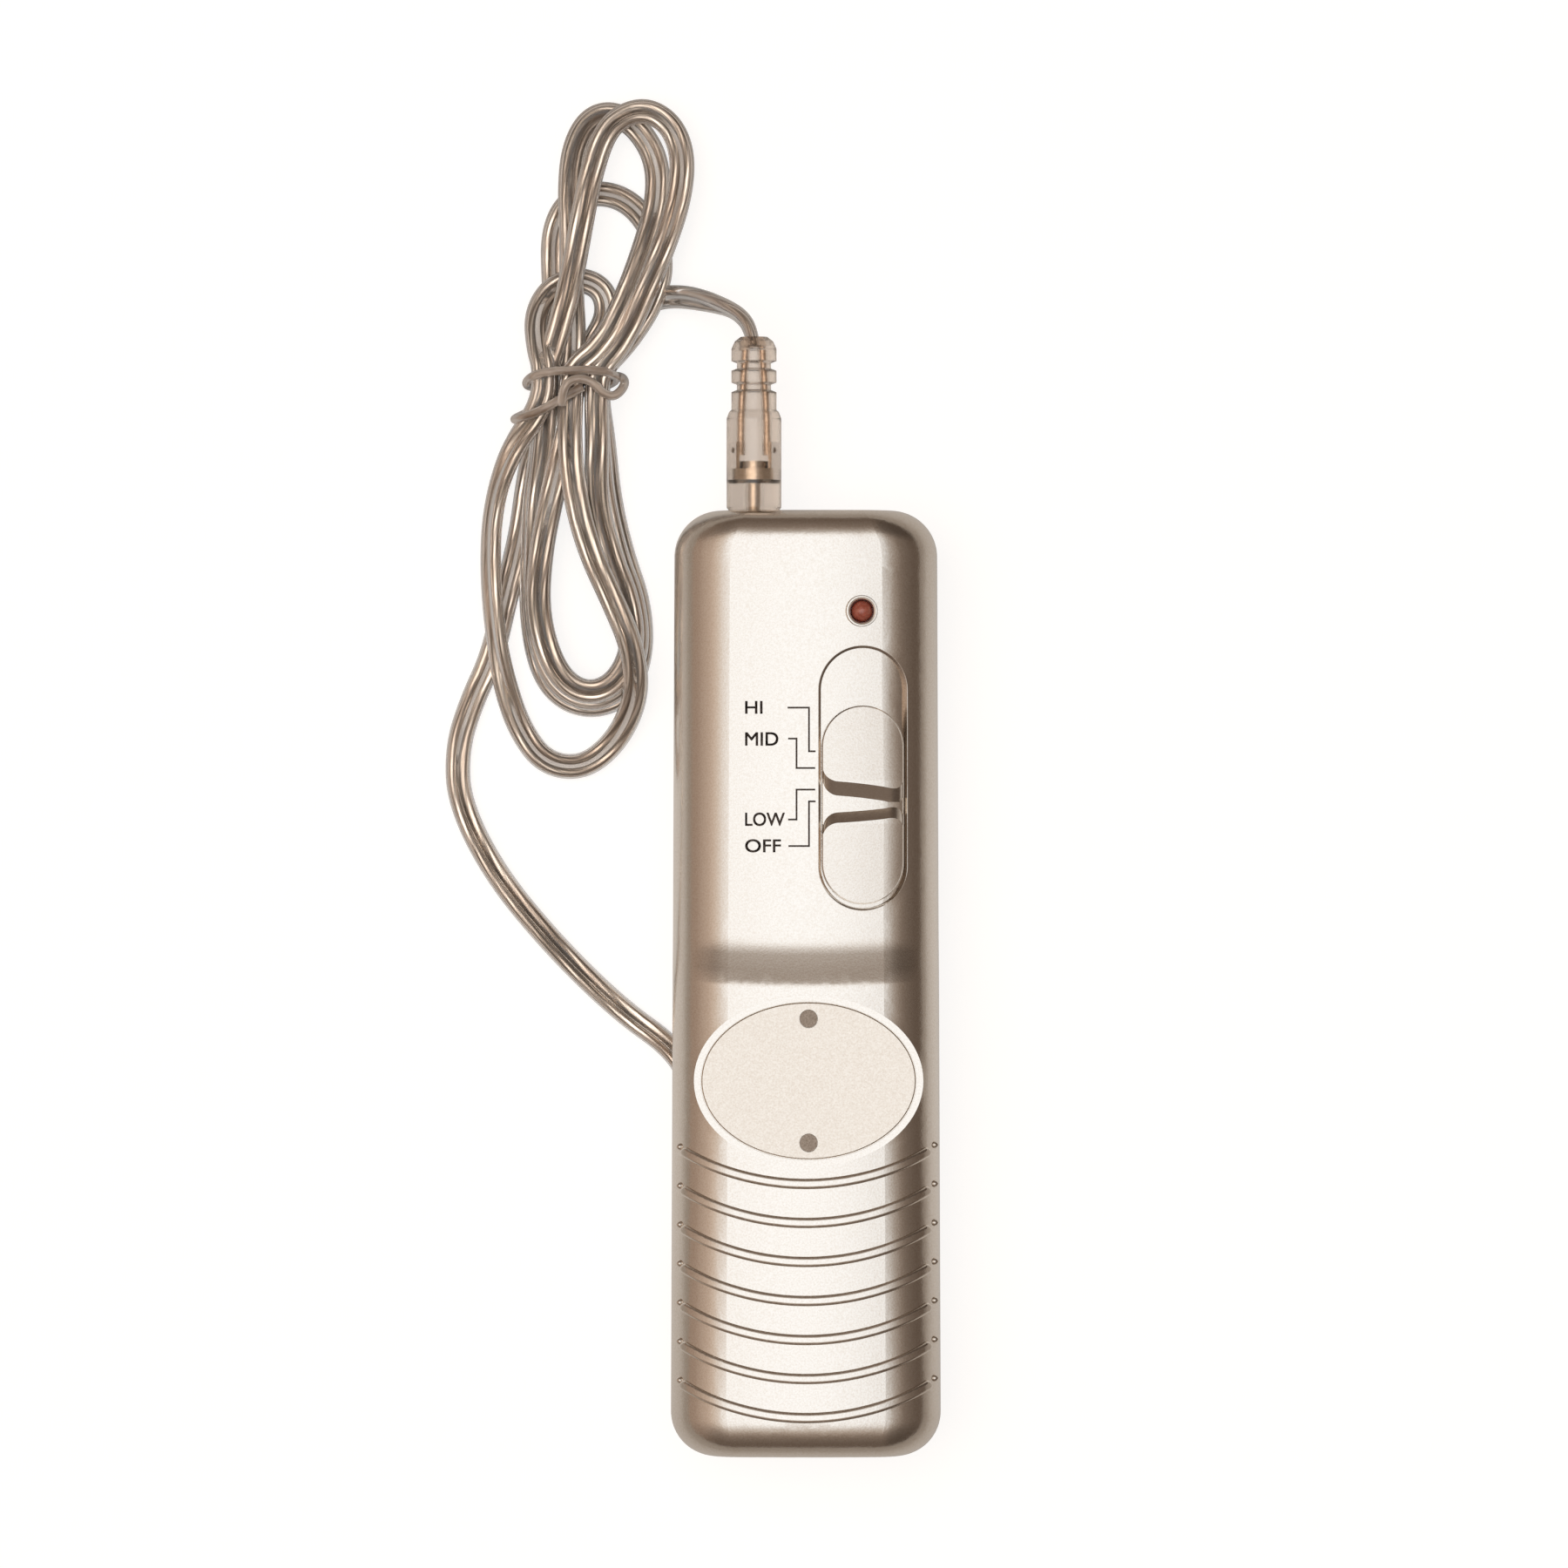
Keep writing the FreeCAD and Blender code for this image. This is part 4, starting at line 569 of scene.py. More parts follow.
@dataclass
class Sweep:
    """Section carried along a line, flat side up, with a twist about the line."""

    line: list[Vector]
    twist: list[float]

    def frames(self) -> list[tuple[Vector, Vector, Vector]]:
        """Works out where the section stands at each place.

        Returns:
            Place, direction across and direction up of each ring.
        """
        rings = []
        last = len(self.line) - 1
        for i, place in enumerate(self.line):
            ahead = (self.line[min(i + 1, last)] - self.line[max(i - 1, 0)]).normalized()
            across = ahead.cross(Vector((0, 0, 1))).normalized()
            up = across.cross(ahead)
            c, s = cos(self.twist[i]), sin(self.twist[i])
            rings.append((place, across * c + up * s, up * c - across * s))
        return rings

    def tube(
        self, name: str, section: list[tuple[float, float]], finish: Material, lay: float = 0.0
    ) -> Object:
        """Builds the closed tube, with coordinates once round it and in metres along it.

        Args:
            name: Name of the piece.
            section: Points of the section, (across, up) in metres.
            finish: Material of the piece.
            lay: Turns that its coordinates make round it in each metre.

        Returns:
            The tube.
        """
        count = len(section)
        points = [p + a * x + u * y for p, a, u in self.frames() for x, y in section]
        faces = band_faces(len(self.line), count)
        faces.append(tuple(range(count))[::-1])
        faces.append(tuple(range(len(points) - count, len(points))))
        piece = make_piece(name, points, faces, finish)
        along = [0.0]
        for a, b in zip(self.line, self.line[1:]):
            along.append(along[-1] + (b - a).length)
        places = [
            value
            for r in range(len(self.line) - 1)
            for k in range(count)
            for i, j in FOUR_WAY
            for value in ((k + j) / count + along[r + i] * lay, along[r + i])
        ]
        places += [0.0] * (4 * count)
        piece.data.uv_layers.new(name="sweep").data.foreach_set("uv", places)
        return piece


# ---- lead ----


@dataclass
class HankedLead:
    """Clear flat twin flex from the plug through the tied hank to the end connector.

    Sizes and routes are in millimetres, apart from the cord's length, which is in metres.
    """

    width: float = 3.4
    thickness: float = 1.75
    web: float = 1.1
    core: float = 1.36
    length: float = 0.829
    exit_mm: tuple = (-7.0, 85.4, 13.0)
    from_plug: tuple = (
        (-7.0, 85.4, 13.0), (-7.3, 88.2, 12.8), (-9.2, 90.6, 11.6), (-12.6, 92.1, 8.9),
        (-17.2, 93.2, 4.6), (-21.4, 92.9, 1.6), (-25.0, 89.4, 1.4), (-28.2, 83.0, 2.25),
        (-28.4, 79.0, 2.25),
    )
    lowest_fold: tuple = (
        (-27.6, 73.9, 1.6), (-26.8, 65.6, 1.05), (-25.0, 58.0, 1.0), (-22.7, 51.5, 1.0),
        (-22.3, 44.7, 1.0), (-24.3, 39.2, 1.0), (-28.8, 37.2, 1.0), (-33.4, 38.6, 1.0),
        (-36.2, 42.7, 1.0), (-37.4, 49.7, 1.1), (-37.3, 58.0, 1.4), (-36.9, 65.6, 1.9),
        (-35.9, 72.7, 2.6), (-35.3, 79.2, 2.9), (-35.3, 82.9, 2.9),
    )
    behind_loop: tuple = (
        (-34.0, 88.6, 1.5), (-34.3, 95.3, 0.95), (-34.5, 101.8, 0.95), (-32.6, 106.1, 0.95),
        (-28.6, 107.6, 0.95), (-24.3, 106.5, 1.1), (-21.1, 102.8, 2.2), (-19.4, 97.6, 3.8),
        (-20.8, 92.4, 4.2), (-24.3, 87.0, 4.1), (-28.2, 83.0, 4.05), (-28.4, 79.0, 4.05),
    )
    middle_fold: tuple = (
        (-28.3, 73.9, 3.5), (-27.6, 65.6, 2.9), (-25.8, 58.0, 2.8), (-23.3, 51.5, 2.8),
        (-22.8, 45.0, 2.8), (-24.9, 40.0, 2.8), (-28.9, 38.1, 2.8), (-32.9, 39.5, 2.8),
        (-35.6, 43.5, 2.8), (-36.9, 50.3, 2.9), (-36.7, 58.6, 3.2), (-36.3, 66.2, 3.6),
        (-35.4, 73.3, 4.2), (-35.3, 79.2, 4.5), (-35.3, 82.9, 4.5),
    )
    front_loop: tuple = (
        (-33.5, 88.6, 5.7), (-31.8, 95.3, 6.2), (-30.5, 102.7, 6.1), (-29.2, 109.6, 5.9),
        (-27.3, 115.5, 5.3), (-24.6, 117.9, 4.7), (-21.3, 118.5, 4.5), (-18.1, 116.3, 4.5),
        (-16.6, 112.0, 4.7), (-17.2, 106.1, 5.2), (-19.3, 99.7, 5.9), (-22.1, 92.9, 6.0),
        (-25.0, 86.6, 6.0), (-28.2, 83.0, 5.85), (-28.4, 79.0, 5.85),
    )
    upper_fold: tuple = (
        (-28.3, 73.3, 5.4), (-28.5, 65.6, 4.8), (-26.7, 58.3, 4.6), (-24.0, 51.5, 4.6),
        (-23.4, 45.4, 4.6), (-25.5, 40.8, 4.6), (-29.0, 39.0, 4.6), (-32.5, 40.3, 4.6),
        (-35.0, 44.3, 4.6), (-36.5, 50.7, 4.7), (-36.0, 58.6, 4.9), (-34.5, 65.9, 4.9),
        (-32.8, 73.3, 4.4), (-31.8, 79.2, 4.05), (-31.8, 82.9, 4.05),
    )
    under_loop: tuple = (
        (-31.5, 88.0, 4.1), (-31.9, 94.4, 4.5), (-31.8, 101.1, 4.4), (-32.1, 107.7, 3.9),
        (-31.6, 113.4, 3.1), (-29.5, 117.4, 2.7), (-26.2, 118.3, 2.6), (-22.7, 116.1, 2.6),
        (-20.2, 111.7, 2.8), (-20.1, 106.1, 3.5), (-21.9, 99.7, 4.4), (-24.2, 93.3, 5.5),
        (-27.4, 86.6, 5.95), (-31.8, 83.0, 5.85), (-31.9, 79.0, 5.85),
    )
    long_fold: tuple = (
        (-32.1, 73.3, 6.2), (-31.3, 65.6, 6.6), (-29.3, 58.3, 6.7), (-26.1, 51.5, 6.6),
        (-23.5, 45.4, 6.6), (-22.8, 39.0, 4.6), (-25.5, 32.9, 1.8), (-30.2, 28.9, 0.95),
        (-35.6, 29.6, 0.95), (-39.0, 34.3, 0.95), (-41.0, 40.3, 1.8), (-42.2, 47.0, 3.2),
        (-43.0, 56.2, 2.8), (-42.6, 64.7, 2.8), (-40.2, 72.1, 4.2), (-35.9, 78.0, 5.8),
        (-35.4, 83.0, 5.9),
    )
    small_loop: tuple = (
        (-36.3, 86.1, 5.2), (-36.7, 90.6, 3.7), (-34.7, 94.3, 2.8), (-30.9, 95.7, 2.65),
        (-27.6, 94.3, 2.6), (-26.8, 90.8, 2.6), (-28.8, 87.0, 2.3), (-31.8, 83.0, 2.25),
        (-31.9, 79.0, 2.25),
    )
    to_connector: tuple = (
        (-33.3, 76.4, 1.5), (-35.4, 74.2, 1.0), (-37.2, 71.3, 0.95), (-38.0, 66.8, 0.95),
        (-38.7, 61.5, 0.95), (-39.9, 56.2, 0.95), (-41.2, 50.9, 0.95), (-42.7, 44.2, 0.95),
        (-45.6, 37.9, 0.95), (-47.5, 31.8, 1.0), (-47.3, 24.4, 1.25), (-42.4, 14.6, 1.3),
        (-34.4, 4.9, 1.3), (-25.4, -3.9, 1.3), (-17.9, -9.2, 1.2), (-15.2, -14.2, 1.05),
        (-15.0, -24.0, 1.1), (-15.9, -35.0, 2.05),
    )
    # Twist in degrees at a numbered route point: edge on at the plug, tilted where it shows so.
    twists: tuple = (
        (0, 90), (2, 80), (4, 35), (6, 0), (16, 8), (28, -6), (44, 10), (56, 14), (62, -10),
        (74, -10), (86, 12), (92, -12), (98, 15), (103, 0), (105, 0), (107, 45), (109, 50),
        (111, 10), (113, 0), (130, 0), (132, 20), (136, 20), (138, 0),
    )
    resolution: int = 10
    flex_sides: int = 28
    core_sides: int = 16
    # Turns that a core's wires make in each metre.
    lay: float = 25.0

    def route(self) -> list[tuple[float, float, float]]:
        """Puts the parts of the route in order, from the plug to the connector.

        Returns:
            Places of all its points.
        """
        return [
            *self.from_plug, *self.lowest_fold, *self.behind_loop, *self.middle_fold,
            *self.front_loop, *self.upper_fold, *self.under_loop, *self.long_fold,
            *self.small_loop, *self.to_connector,
        ]

    def twist_at(self, place: float) -> float:
        """Gives the twist between two named route points.

        Args:
            place: Number of the route point, with its fraction.

        Returns:
            Twist in radians.
        """
        for (low, a), (high, b) in zip(self.twists, self.twists[1:]):
            if place <= high:
                share = max(0.0, (place - low) / (high - low))
                soft = share * share * (3 - 2 * share)
                return radians(a + (b - a) * soft)
        return radians(self.twists[-1][1])

    def section(self) -> list[tuple[float, float]]:
        """Outline of the twin flex: two round lobes joined by a web.

        Returns:
            Points of the outline in metres.
        """
        radius = self.thickness / 2
        centre = self.width / 2 - radius
        outline = []
        for across, up in steps_round(self.flex_sides):
            x = self.width / 2 * across
            lobe = sqrt(max(0.0, radius**2 - (abs(x) - centre) ** 2))
            y = max(lobe, self.web / 2) if abs(x) < centre else lobe
            outline.append((x * MM, copysign(y, up) * MM))
        return outline

    def core_section(self, side: int) -> list[tuple[float, float]]:
        """Outline of one core inside its lobe.

        Args:
            side: -1 or 1, the lobe that the core lies in.

        Returns:
            Points of the outline in metres.
        """
        centre = side * (self.width - self.thickness) / 2
        half = self.core / 2
        return [((centre + half * c) * MM, half * s * MM) for c, s in steps_round(self.core_sides)]

    def build(self) -> None:
        route = self.route()
        line = spline_points("lead_line", route, self.resolution)
        spans = len(route) - 2
        twist = [self.twist_at(spans * i / (len(line) - 1) + 0.5) for i in range(len(line))]
        sweep = Sweep(line, twist)
        flex = sweep.tube("lead_flex", self.section(), FLEX.material)
        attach(flex, Body.LEAD.value)
        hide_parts("cord_lead_in", "cord_hank", "cord_lead_out")
        for side, label in ((-1, "left"), (1, "right")):
            section = self.core_section(side)
            core = sweep.tube(f"lead_core_{label}", section, CORE.material, self.lay)
            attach(core, Body.LEAD.value)
        tie = HankTie().build()
        LOG.info("lead: %d rings of twin flex, two cores and the tie", len(line))


@dataclass
class HankTie:
    """Clear strand wound twice round the neck of the hank, then looped and tucked over it."""

    radius: float = 0.62
    sides: int = 12
    resolution: int = 6
    end: tuple = ((-30.2, 80.7, 7.5), (-31.6, 80.0, 7.45), (-33.6, 78.8, 7.4))
    low_turn: tuple = (
        (-36.0, 77.4, 7.2), (-38.2, 76.7, 6.6), (-39.6, 76.3, 5.0), (-39.5, 76.6, 2.6),
        (-37.8, 77.5, 1.1), (-34.0, 79.1, 0.75), (-30.0, 80.3, 0.75), (-27.2, 81.1, 1.2),
        (-25.8, 81.7, 3.0), (-25.8, 82.3, 5.4),
    )
    high_turn: tuple = (
        (-27.2, 82.8, 7.0), (-29.5, 83.0, 7.4), (-32.0, 82.9, 7.45), (-34.8, 82.8, 7.3),
        (-36.9, 82.3, 6.6), (-38.0, 81.5, 4.8), (-37.9, 81.0, 2.6), (-36.4, 80.9, 1.1),
        (-33.5, 81.1, 0.75), (-29.5, 81.8, 0.75), (-26.6, 82.5, 1.3), (-24.9, 82.2, 3.6),
        (-24.5, 81.3, 5.6),
    )
    knot: tuple = (
        (-25.0, 80.2, 6.9), (-26.1, 79.3, 7.4), (-27.5, 79.8, 7.9), (-28.6, 81.1, 8.3),
        (-30.4, 81.9, 8.3), (-32.2, 81.4, 8.3), (-33.0, 79.9, 8.3), (-33.1, 78.2, 7.6),
    )

    def build(self) -> Object:
        """Builds the tie.

        Returns:
            The tie's piece.
        """
        route = [*self.end, *self.low_turn, *self.high_turn, *self.knot]
        line = spline_points("tie_line", route, self.resolution)
        radius = self.radius * MM
        circle = [(radius * c, radius * s) for c, s in steps_round(self.sides)]
        tie = Sweep(line, [0.0] * len(line)).tube("hank_tie", circle, STRAND.material)
        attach(tie, Body.LEAD.value)
        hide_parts("cord_tie")
        return tie


# ---- case ----


@dataclass
class CaseTrims:
    """Small moulded edges: the lips of slot and lamp, the knob's edge and the beads' ends.

    All sizes are in millimetres.
    """

    slot: tuple = (7.64, 27.6)
    slot_half: tuple = (6.0, 17.8)
    knob: tuple = (7.64, 24.0)
    knob_half: tuple = (5.35, 13.15)
    lamp: tuple = (7.5, 50.0)
    lamp_hole: float = 1.75
    # (distance off the edge, height over the face) of each corner of an edge's section.
    slot_lip: tuple = ((-0.02, 0.03), (0.05, 0.02), (0.36, -0.2), (0.36, -0.55), (-0.02, -0.55))
    lamp_lip: tuple = (
        (-0.4, -0.02), (-0.3, 0.06), (-0.1, 0.08), (0.1, 0.02), (0.19, -0.3), (-0.4, -0.3),
    )
    knob_edge: tuple = ((-0.03, 0.015), (0.01, 0.01), (0.16, -0.17), (0.16, -0.45), (-0.03, -0.45))
    # How far back from an edge the surface is felt: on the shell, and on the thin knob.
    shell_inset: float = 0.5
    knob_inset: float = 0.06
    round_steps: int = 48
    side_steps: int = 90
    end_radius: float = 0.5
    end_height: float = 0.5
    end_x: tuple = (-16.9, 17.3)
    end_shift: float = 0.3
    # Angles in degrees of the rings of a bead's domed end.
    dome_rings: tuple = (-20, 2, 24, 46, 68, 90)
    dome_sides: int = 16
    bead_count: int = 7
    bead_pitch: float = 5.22
    bead_first_y: float = -26.7
    bead_plan_radius: float = 34.0

    def edge(
        self, name: str, body: Body, outline: list, section: tuple, face: BVHTree, inset: float
    ) -> None:
        """Runs a small section round an edge.

        Args:
            name: Name of the piece.
            body: Body that it rides on.
            outline: (x, y, way x, way y) of each place, with the way off the edge.
            section: Corners of the section.
            face: Tree of the node that has the edge.
            inset: How far back from the edge the surface is felt.
        """
        points = []
        for x, y, nx, ny in outline:
            start = Vector(((x - nx * inset) * MM, (y - ny * inset) * MM, LOOKOUT))
            hit, *_ = face.ray_cast(start, DOWN)
            points += [((x + nx * d) * MM, (y + ny * d) * MM, hit.z + h * MM) for d, h in section]
        around = band_faces(len(outline), len(section), closed=True)
        faces = [(a, d, c, b) for a, b, c, d in around]
        piece = make_piece(name, points, faces, PAINT.material, smooth=False)
        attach(piece, body.value)

    def oblong(self, centre: tuple, half: tuple, way: int) -> list[tuple]:
        """Places round a slot with round ends.

        Args:
            centre: Its middle.
            half: Half its width and half its length.
            way: 1 where the way off the edge leads outward, -1 where it leads inward.

        Returns:
            Place and way of each point.
        """
        straight = half[1] - half[0]
        outline = []
        for k in range(self.round_steps):
            angle = pi * k / (self.round_steps - 1)
            outline.append((cos(angle), sin(angle), straight))
        for k in range(1, self.side_steps):
            outline.append((-1.0, 0.0, straight * (1 - 2 * k / self.side_steps)))
        turned = [(-c, -s, -y) for c, s, y in outline]
        return [
            (centre[0] + half[0] * c, centre[1] + half[0] * s + y, way * c, way * s)
            for c, s, y in outline + turned
        ]

    def bead_ends(self, face: BVHTree) -> None:
        """Sets a small dome on each end of each bead.

        Args:
            face: Tree of the front shell.
        """
        points, faces = [], []
        rings, sides = len(self.dome_rings), self.dome_sides
        for index in range(self.bead_count):
            for x in self.end_x:
                middle = self.bead_first_y - index * self.bead_pitch + self.bead_plan_radius
                y = middle - sqrt(self.bead_plan_radius**2 - x**2) + self.end_shift
                hit, normal, *_ = face.ray_cast(Vector((x * MM, y * MM, LOOKOUT)), DOWN)
                side = normal.cross(Vector((0, 1, 0))).normalized()
                other = normal.cross(side)
                base = len(points)
                for rise in map(radians, self.dome_rings):
                    width = self.end_radius * MM * cos(rise)
                    top = hit + normal * (self.end_height * MM * sin(rise))
                    points += [top + (side * c + other * s) * width for c, s in steps_round(sides)]
                faces += band_faces(rings, sides, base)
                faces.append(tuple(range(len(points) - sides, len(points))))
                faces.append(tuple(range(base, base + sides))[::-1])
        piece = make_piece("bead_ends", points, faces, PAINT.material)
        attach(piece, Body.CASE.value)

    def build(self) -> None:
        """Builds the edges and the beads' ends."""
        face = surface_of("front_shell")
        inward = self.oblong(self.slot, self.slot_half, -1)
        self.edge("slot_lip", Body.CASE, inward, self.slot_lip, face, self.shell_inset)
        knob = surface_of("slider_knob")
        outward = self.oblong(self.knob, self.knob_half, 1)
        self.edge("knob_edge", Body.SLIDER, outward, self.knob_edge, knob, self.knob_inset)
        (x, y), r = self.lamp, self.lamp_hole
        ring = [(x + r * c, y + r * s, -c, -s) for c, s in steps_round(self.round_steps)]
        self.edge("lamp_lip", Body.CASE, ring, self.lamp_lip, face, self.shell_inset)
        self.bead_ends(face)
        LOG.info("trims: three edges and %d bead ends", 2 * self.bead_count)


@dataclass
class PlugInserts:
    """Metal parts that are moulded into the clear plug."""

    # Millimetres that each skin is drawn in, so that it shares no face with the clear body.
    gap: float = 0.03
    # Node and material slot of each insert.
    parts: tuple = (
        ("plug_lugs", "plug_metal"),
        ("plug_conductors", "core_copper"),
        ("plug_pin", "plug_metal"),
    )

    def build(self) -> None:
        """Redraws each insert just inside the pocket that holds it."""
        for name, slot in self.parts:
            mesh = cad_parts[name].data
            points = [v.co - v.normal * self.gap * MM for v in mesh.vertices]
            faces = [tuple(p.vertices) for p in mesh.polygons]
            finish = NODE_FINISHES[name].material
            piece = make_piece(f"{name}_moulded_in", points, faces, finish, smooth=False)
            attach(piece, Body.LEAD.value)
            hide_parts(name)
        LOG.info("plug: %d inserts", len(self.parts))


@dataclass
class SpeedLegend:
    """Printed names of the switch's four places, each with its leader line.

    All sizes are in millimetres.
    """

    left: float = -8.16
    stroke: float = 0.24
    # Each word is laid down at all these shifts, for the bold strokes of pad print.
    shifts: tuple = ((0.0, 0.0), (0.07, 0.0), (0.0, 0.07), (0.07, 0.07))
    cover: float = 0.02
    curve_steps: int = 6
    leader_steps: int = 4
    # Word, its middle's y, its height and its width.
    words: tuple = (
        ("HI", 37.04, 1.66, 2.28),
        ("MID", 32.81, 1.74, 4.4),
        ("LOW", 22.05, 1.76, 5.27),
        ("OFF", 18.49, 1.72, 4.75),
    )
    # Corners of each word's leader line.
    leaders: tuple = (
        ((-2.35, 37.04), (0.41, 37.04), (0.41, 31.19), (1.18, 31.19)),
        ((-2.27, 32.89), (-1.26, 32.89), (-1.26, 28.95), (1.13, 28.95)),
        ((-2.27, 22.05), (-1.26, 22.05), (-1.26, 26.06), (1.13, 26.06)),
        ((-2.23, 18.5), (0.41, 18.5), (0.41, 24.48), (1.18, 24.48)),
    )

    def on_face(self, face: BVHTree, x: float, y: float) -> tuple[float, float, float]:
        """Lays a point on the case's face.

        Args:
            face: Tree of the front shell.
            x: Place across.
            y: Place along.

        Returns:
            The point in metres, just proud of the face.
        """
        hit, *_ = face.ray_cast(Vector((x * MM, y * MM, LOOKOUT)), DOWN)
        return (x * MM, y * MM, hit.z + self.cover * MM)

    def build(self) -> None:
        """Lays all four words and leaders on the face."""
        face = surface_of("front_shell")
        for text, y, height, width in self.words:
            curve = bpy.data.curves.new("legend", "FONT")
            curve.body = text
            curve.resolution_u = self.curve_steps
            points, faces = read_curve(curve)
            low = Vector((min(p.x for p in points), min(p.y for p in points)))
            high = Vector((max(p.x for p in points), max(p.y for p in points)))
            placed = [
                self.on_face(
                    face,
                    self.left + (p.x - low.x) / (high.x - low.x) * width + dx,
                    y + ((p.y - low.y) / (high.y - low.y) - 0.5) * height + dy,
                )
                for dx, dy in self.shifts
                for p in points
            ]
            faces = [
                tuple(corner + copy * len(points) for corner in one)
                for copy in range(len(self.shifts))
                for one in faces
            ]
            piece = make_piece(f"legend_{text.lower()}", placed, faces, INK.material)
            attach(piece, Body.CASE.value)
        for (text, *_), places in zip(self.words, self.leaders):
            piece = self.leader(text, places, face)
            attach(piece, Body.CASE.value)
        LOG.info("legend: %d words and leaders", len(self.words))

    def leader(self, text: str, places: tuple, face: BVHTree) -> Object:
        """Draws one leader line of level and upright strokes.

        Args:
            text: Word that the line belongs to.
            places: Corners of the line.
            face: Tree of the front shell.

        Returns:
            The line's piece.
        """
        points, faces = [], []
        half = self.stroke / 2
        for (x0, y0), (x1, y1) in zip(places, places[1:]):
            left, right = sorted((x0, x1))
            low, high = sorted((y0, y1))
            base = len(points)
            steps = self.leader_steps
            for i in range(steps + 1):
                share = i / steps
                if right - left > high - low:
                    x = left - half + (right - left + 2 * half) * share
                    pair = ((x, low - half), (x, high + half))
                else:
                    y = low - half + (high - low + 2 * half) * share
                    pair = ((right + half, y), (left - half, y))
                points += [self.on_face(face, *place) for place in pair]
            faces += [
                (base + 2 * i, base + 2 * i + 2, base + 2 * i + 3, base + 2 * i + 1)
                for i in range(steps)
            ]
        return make_piece(f"leader_{text.lower()}", points, faces, INK.material)


@dataclass
class CarriedNodes:
    """Finishes of the CAD nodes that keep their own shape."""

    finishes: dict[str, Finish]

    def dress(self) -> None:
        """Gives every node its finish, one material for each finish."""
        for name, finish in self.finishes.items():
            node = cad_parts[name]
            if not node.material_slots:
                node.data.materials.append(finish.material)
            for place in node.material_slots:
                place.material = finish.material
        LOG.info("nodes: %d dressed", len(self.finishes))


# ---- studio ----


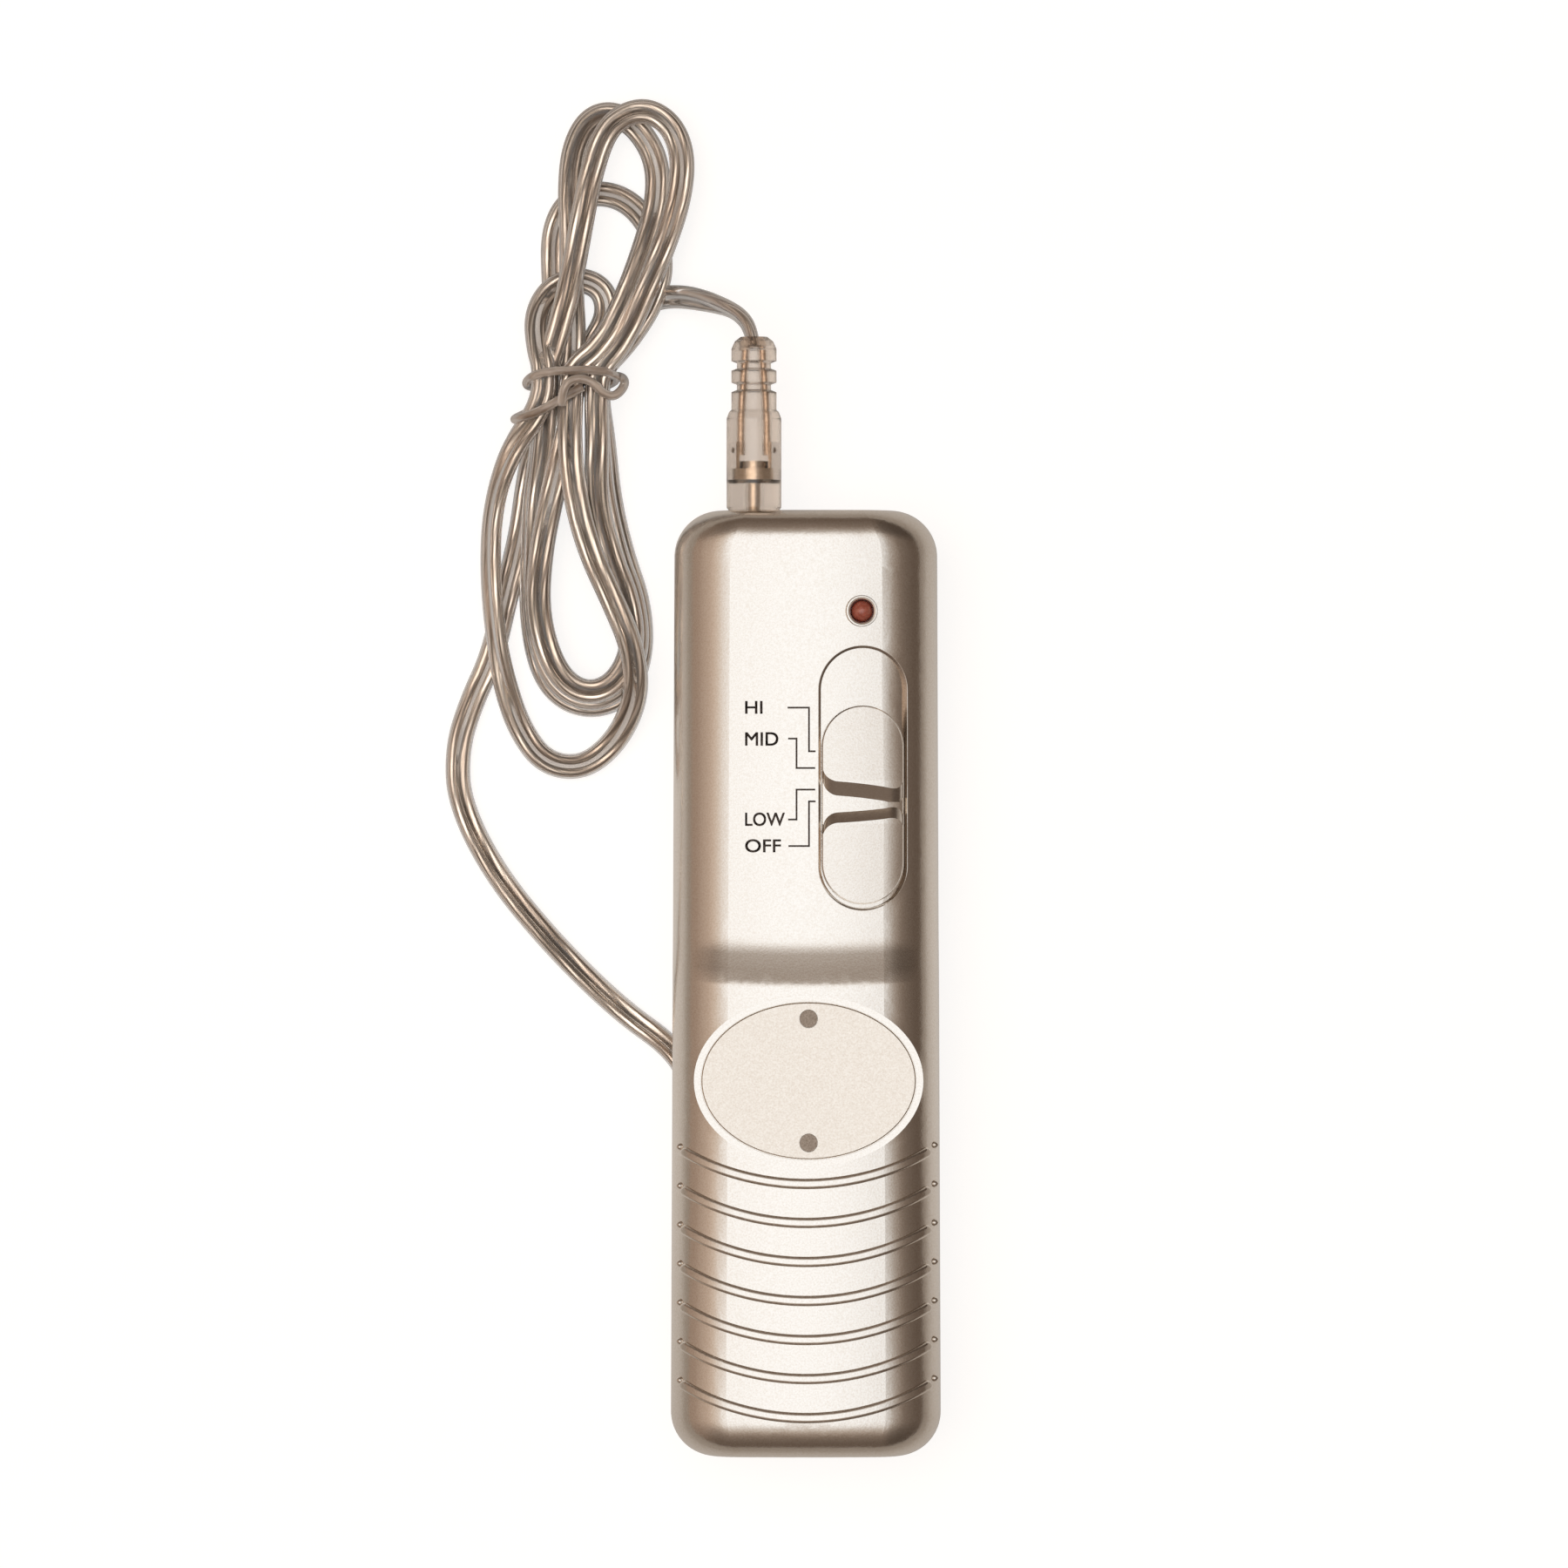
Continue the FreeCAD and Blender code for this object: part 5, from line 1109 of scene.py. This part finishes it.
@dataclass
class Studio:
    """White table, soft sky, one soft lamp and the camera straight above, in metres."""

    table_size: float = 12.0
    table_height: float = -0.0002
    card: str = "#978F86"
    white: float = 0.84
    # Painted pool of light: share of the table's white glow that reflections see, at two distances
    # from the middle, brighter near the object.
    painted_light_pool: tuple = ((0.035, 0.42), (0.13, 0.08))
    through: float = 0.6
    sky_through: float = 0.35
    lamp_size: float = 1.6
    lamp_power: float = 14.0
    lamp_tone: str = "#FFFAF4"
    lamp_place: tuple = (-0.35, 0.2, 1.7)
    lamp_lean: float = -12.0
    height: float = 1.2
    far_clip: float = 50.0
    view_width: float = 0.2117
    sensor: float = 36.0
    centre: tuple = (-0.00294, 0.02681)
    face_height: float = 0.013
    # Linear light of the sky at each angle from straight up: a softbox, then dark flags.
    sky_levels: tuple = (
        (0, (0.377, 0.39, 0.407)), (11, (0.37, 0.38, 0.393)), (15, (0.352, 0.356, 0.362)),
        (20, (0.3, 0.29, 0.283)), (27, (0.24, 0.217, 0.2)), (33, (0.187, 0.16, 0.138)),
        (40, (0.133, 0.108, 0.09)), (48, (0.09, 0.07, 0.057)), (60, (0.067, 0.052, 0.042)),
        (75, (0.05, 0.037, 0.029)), (95, (0.047, 0.035, 0.027)),
    )
    # Share of that light from left to right; a pale wall stands on the left.
    side_levels: tuple = (
        (-1.0, 0.95), (-0.9, 0.95), (-0.75, 0.8), (-0.55, 0.51), (-0.4, 0.42), (0.08, 0.42),
        (0.19, 0.39), (0.3, 0.29), (0.5, 0.25), (0.7, 0.28), (1.0, 0.33),
    )
    # Share of it along the object; a dark flag stands toward the plug's end.
    flag_levels: tuple = (
        (-1.0, 0.85), (-0.4, 0.85), (-0.2, 1.0), (0.28, 1.0), (0.42, 0.66), (0.6, 0.62),
        (0.8, 0.8), (1.0, 0.9),
    )
    sky_strength: float = 7.14

    def maths(self, tree: NodeTree, operation: str, *values) -> NodeSocket:
        """Adds one sum.

        Args:
            tree: Node tree that takes it.
            operation: What it works out.
            *values: Its values or sockets.

        Returns:
            Socket with the result.
        """
        node = add_node(tree, "Math", {"operation": operation}, dict(enumerate(values)))
        return node.outputs[0]

    def levels(self, tree: NodeTree, place: NodeSocket, stops: tuple) -> NodeSocket:
        """Reads a table of levels along one direction of the sky.

        Args:
            tree: Node tree of the sky.
            place: Socket with the direction's part, from -1 to 1.
            stops: (part, level) pairs.

        Returns:
            Socket with the level.
        """
        share = add_node(tree, "MapRange", inputs={"Value": place, "From Min": -1.0})
        inputs = {"Fac": share.outputs["Result"]}
        greys = tuple(((x + 1) / 2, (v, v, v, 1.0)) for x, v in stops)
        return add_node(tree, "ValToRGB", inputs=inputs, stops=greys).outputs["Color"]

    def seen_by(self, tree: NodeTree, glossy: float | NodeSocket, clear: float) -> NodeSocket:
        """How much of the background's white each kind of ray sees.

        Args:
            tree: Node tree that asks.
            glossy: Share for reflected rays, as a value or a socket.
            clear: Share for rays that have passed through clear material.

        Returns:
            Socket with 1 for camera rays and those shares for the others.
        """
        path = add_node(tree, "LightPath")
        seen = path.outputs["Is Camera Ray"]
        for ray, share in (("Is Glossy Ray", glossy), ("Is Transmission Ray", clear)):
            part = self.maths(tree, "MULTIPLY", path.outputs[ray], share)
            seen = self.maths(tree, "MAXIMUM", seen, part)
        return seen

    def table(self) -> None:
        """Lays the white table, which shows its own white and keeps the object's shadow."""
        material = bpy.data.materials.new("white_table_card")
        material.use_nodes = True
        tree = material.node_tree
        tree.nodes.clear()
        place = add_node(tree, "TexCoord").outputs["Object"]
        away = add_node(tree, "VectorMath", {"operation": "LENGTH"}, {0: place})
        # Painted pool of light: for reflected rays the table glows brighter near the middle and
        # fades outwards.
        (near, strong), (far, weak) = self.painted_light_pool
        inputs = {"From Min": near, "From Max": far, "To Min": strong, "To Max": weak}
        painted_light_pool = add_node(tree, "MapRange", inputs={"Value": away.outputs["Value"], **inputs})
        level = self.seen_by(tree, painted_light_pool.outputs["Result"], self.through)
        glow = self.maths(tree, "MULTIPLY", level, self.white)
        card = add_node(tree, "BsdfDiffuse", inputs={"Color": linear(self.card)})
        light = add_node(tree, "Emission", inputs={"Strength": glow})
        both = add_node(tree, "AddShader", inputs={0: card.outputs[0], 1: light.outputs[0]})
        add_node(tree, "OutputMaterial", inputs={"Surface": both.outputs[0]})
        half = self.table_size / 2
        corners = [
            (x * half, y * half, self.table_height) for x, y in ((-1, -1), (1, -1), (1, 1), (-1, 1))
        ]
        make_piece("table", corners, [(0, 1, 2, 3)], material)

    def sky(self) -> None:
        """Paints the sky: a bright softbox overhead with dark flags, and white for the camera."""
        world = bpy.data.worlds.new("studio_sky")
        bpy.context.scene.world = world
        world.use_nodes = True
        tree = world.node_tree
        tree.nodes.clear()
        place = add_node(tree, "TexCoord").outputs["Generated"]
        way = add_node(tree, "SeparateXYZ", inputs={0: place})
        angle = self.maths(tree, "ARCCOSINE", way.outputs["Z"])
        share = self.maths(tree, "DIVIDE", angle, pi)
        tones = tuple((a / 180, (*light, 1.0)) for a, light in self.sky_levels)
        overhead = add_node(tree, "ValToRGB", inputs={"Fac": share}, stops=tones)
        side = self.levels(tree, way.outputs["X"], self.side_levels)
        settings = {"data_type": "RGBA", "blend_type": "MULTIPLY"}
        inputs = {0: 1.0, 6: overhead.outputs["Color"], 7: side}
        toned = add_node(tree, "Mix", settings, inputs)
        flag = self.levels(tree, way.outputs["Y"], self.flag_levels)
        strength = self.maths(tree, "MULTIPLY", flag, self.sky_strength)
        sky = add_node(tree, "Background", inputs={"Color": toned.outputs[2], "Strength": strength})
        white = add_node(tree, "Background", inputs={"Color": linear("#FFFFFF")})
        seen = self.seen_by(tree, 0.0, self.sky_through)
        parts = {0: seen, 1: sky.outputs[0], 2: white.outputs[0]}
        light = add_node(tree, "MixShader", inputs=parts)
        add_node(tree, "OutputWorld", inputs={"Surface": light.outputs[0]})

    def lamp(self) -> None:
        """Hangs one wide soft lamp that lights the table and the matt pieces."""
        data = bpy.data.lights.new("soft_lamp", "AREA")
        data.shape = "DISK"
        data.size = self.lamp_size
        data.energy = self.lamp_power
        data.color = linear(self.lamp_tone)[:3]
        lamp = bpy.data.objects.new("soft_lamp", data)
        lamp.location = self.lamp_place
        lamp.rotation_euler = (0.0, radians(self.lamp_lean), 0.0)
        lamp.visible_glossy = False
        bpy.context.scene.collection.objects.link(lamp)

    def camera(self) -> None:
        """Sets the camera straight above the object."""
        data = bpy.data.cameras.new("overhead")
        data.sensor_width = self.sensor
        data.lens = self.sensor * self.height / self.view_width
        data.clip_end = self.far_clip
        camera = bpy.data.objects.new("overhead", data)
        camera.location = (*self.centre, self.face_height + self.height)
        bpy.context.scene.collection.objects.link(camera)
        bpy.context.scene.camera = camera

    def build(self) -> None:
        """Sets up the whole studio."""
        scene = bpy.context.scene
        scene.view_settings.view_transform = "Standard"
        self.table()
        self.sky()
        self.lamp()
        self.camera()
        LOG.info("studio: table, sky, lamp and camera")


def main() -> None:
    """Builds the studio, the lead and the case's dressing, in that order."""
    logging.basicConfig(level=logging.INFO, format="%(name)s %(message)s")
    Studio().build()
    HankedLead().build()
    CarriedNodes(NODE_FINISHES).dress()
    PlugInserts().build()
    CaseTrims().build()
    SpeedLegend().build()


if __name__ == "__main__":
    main()
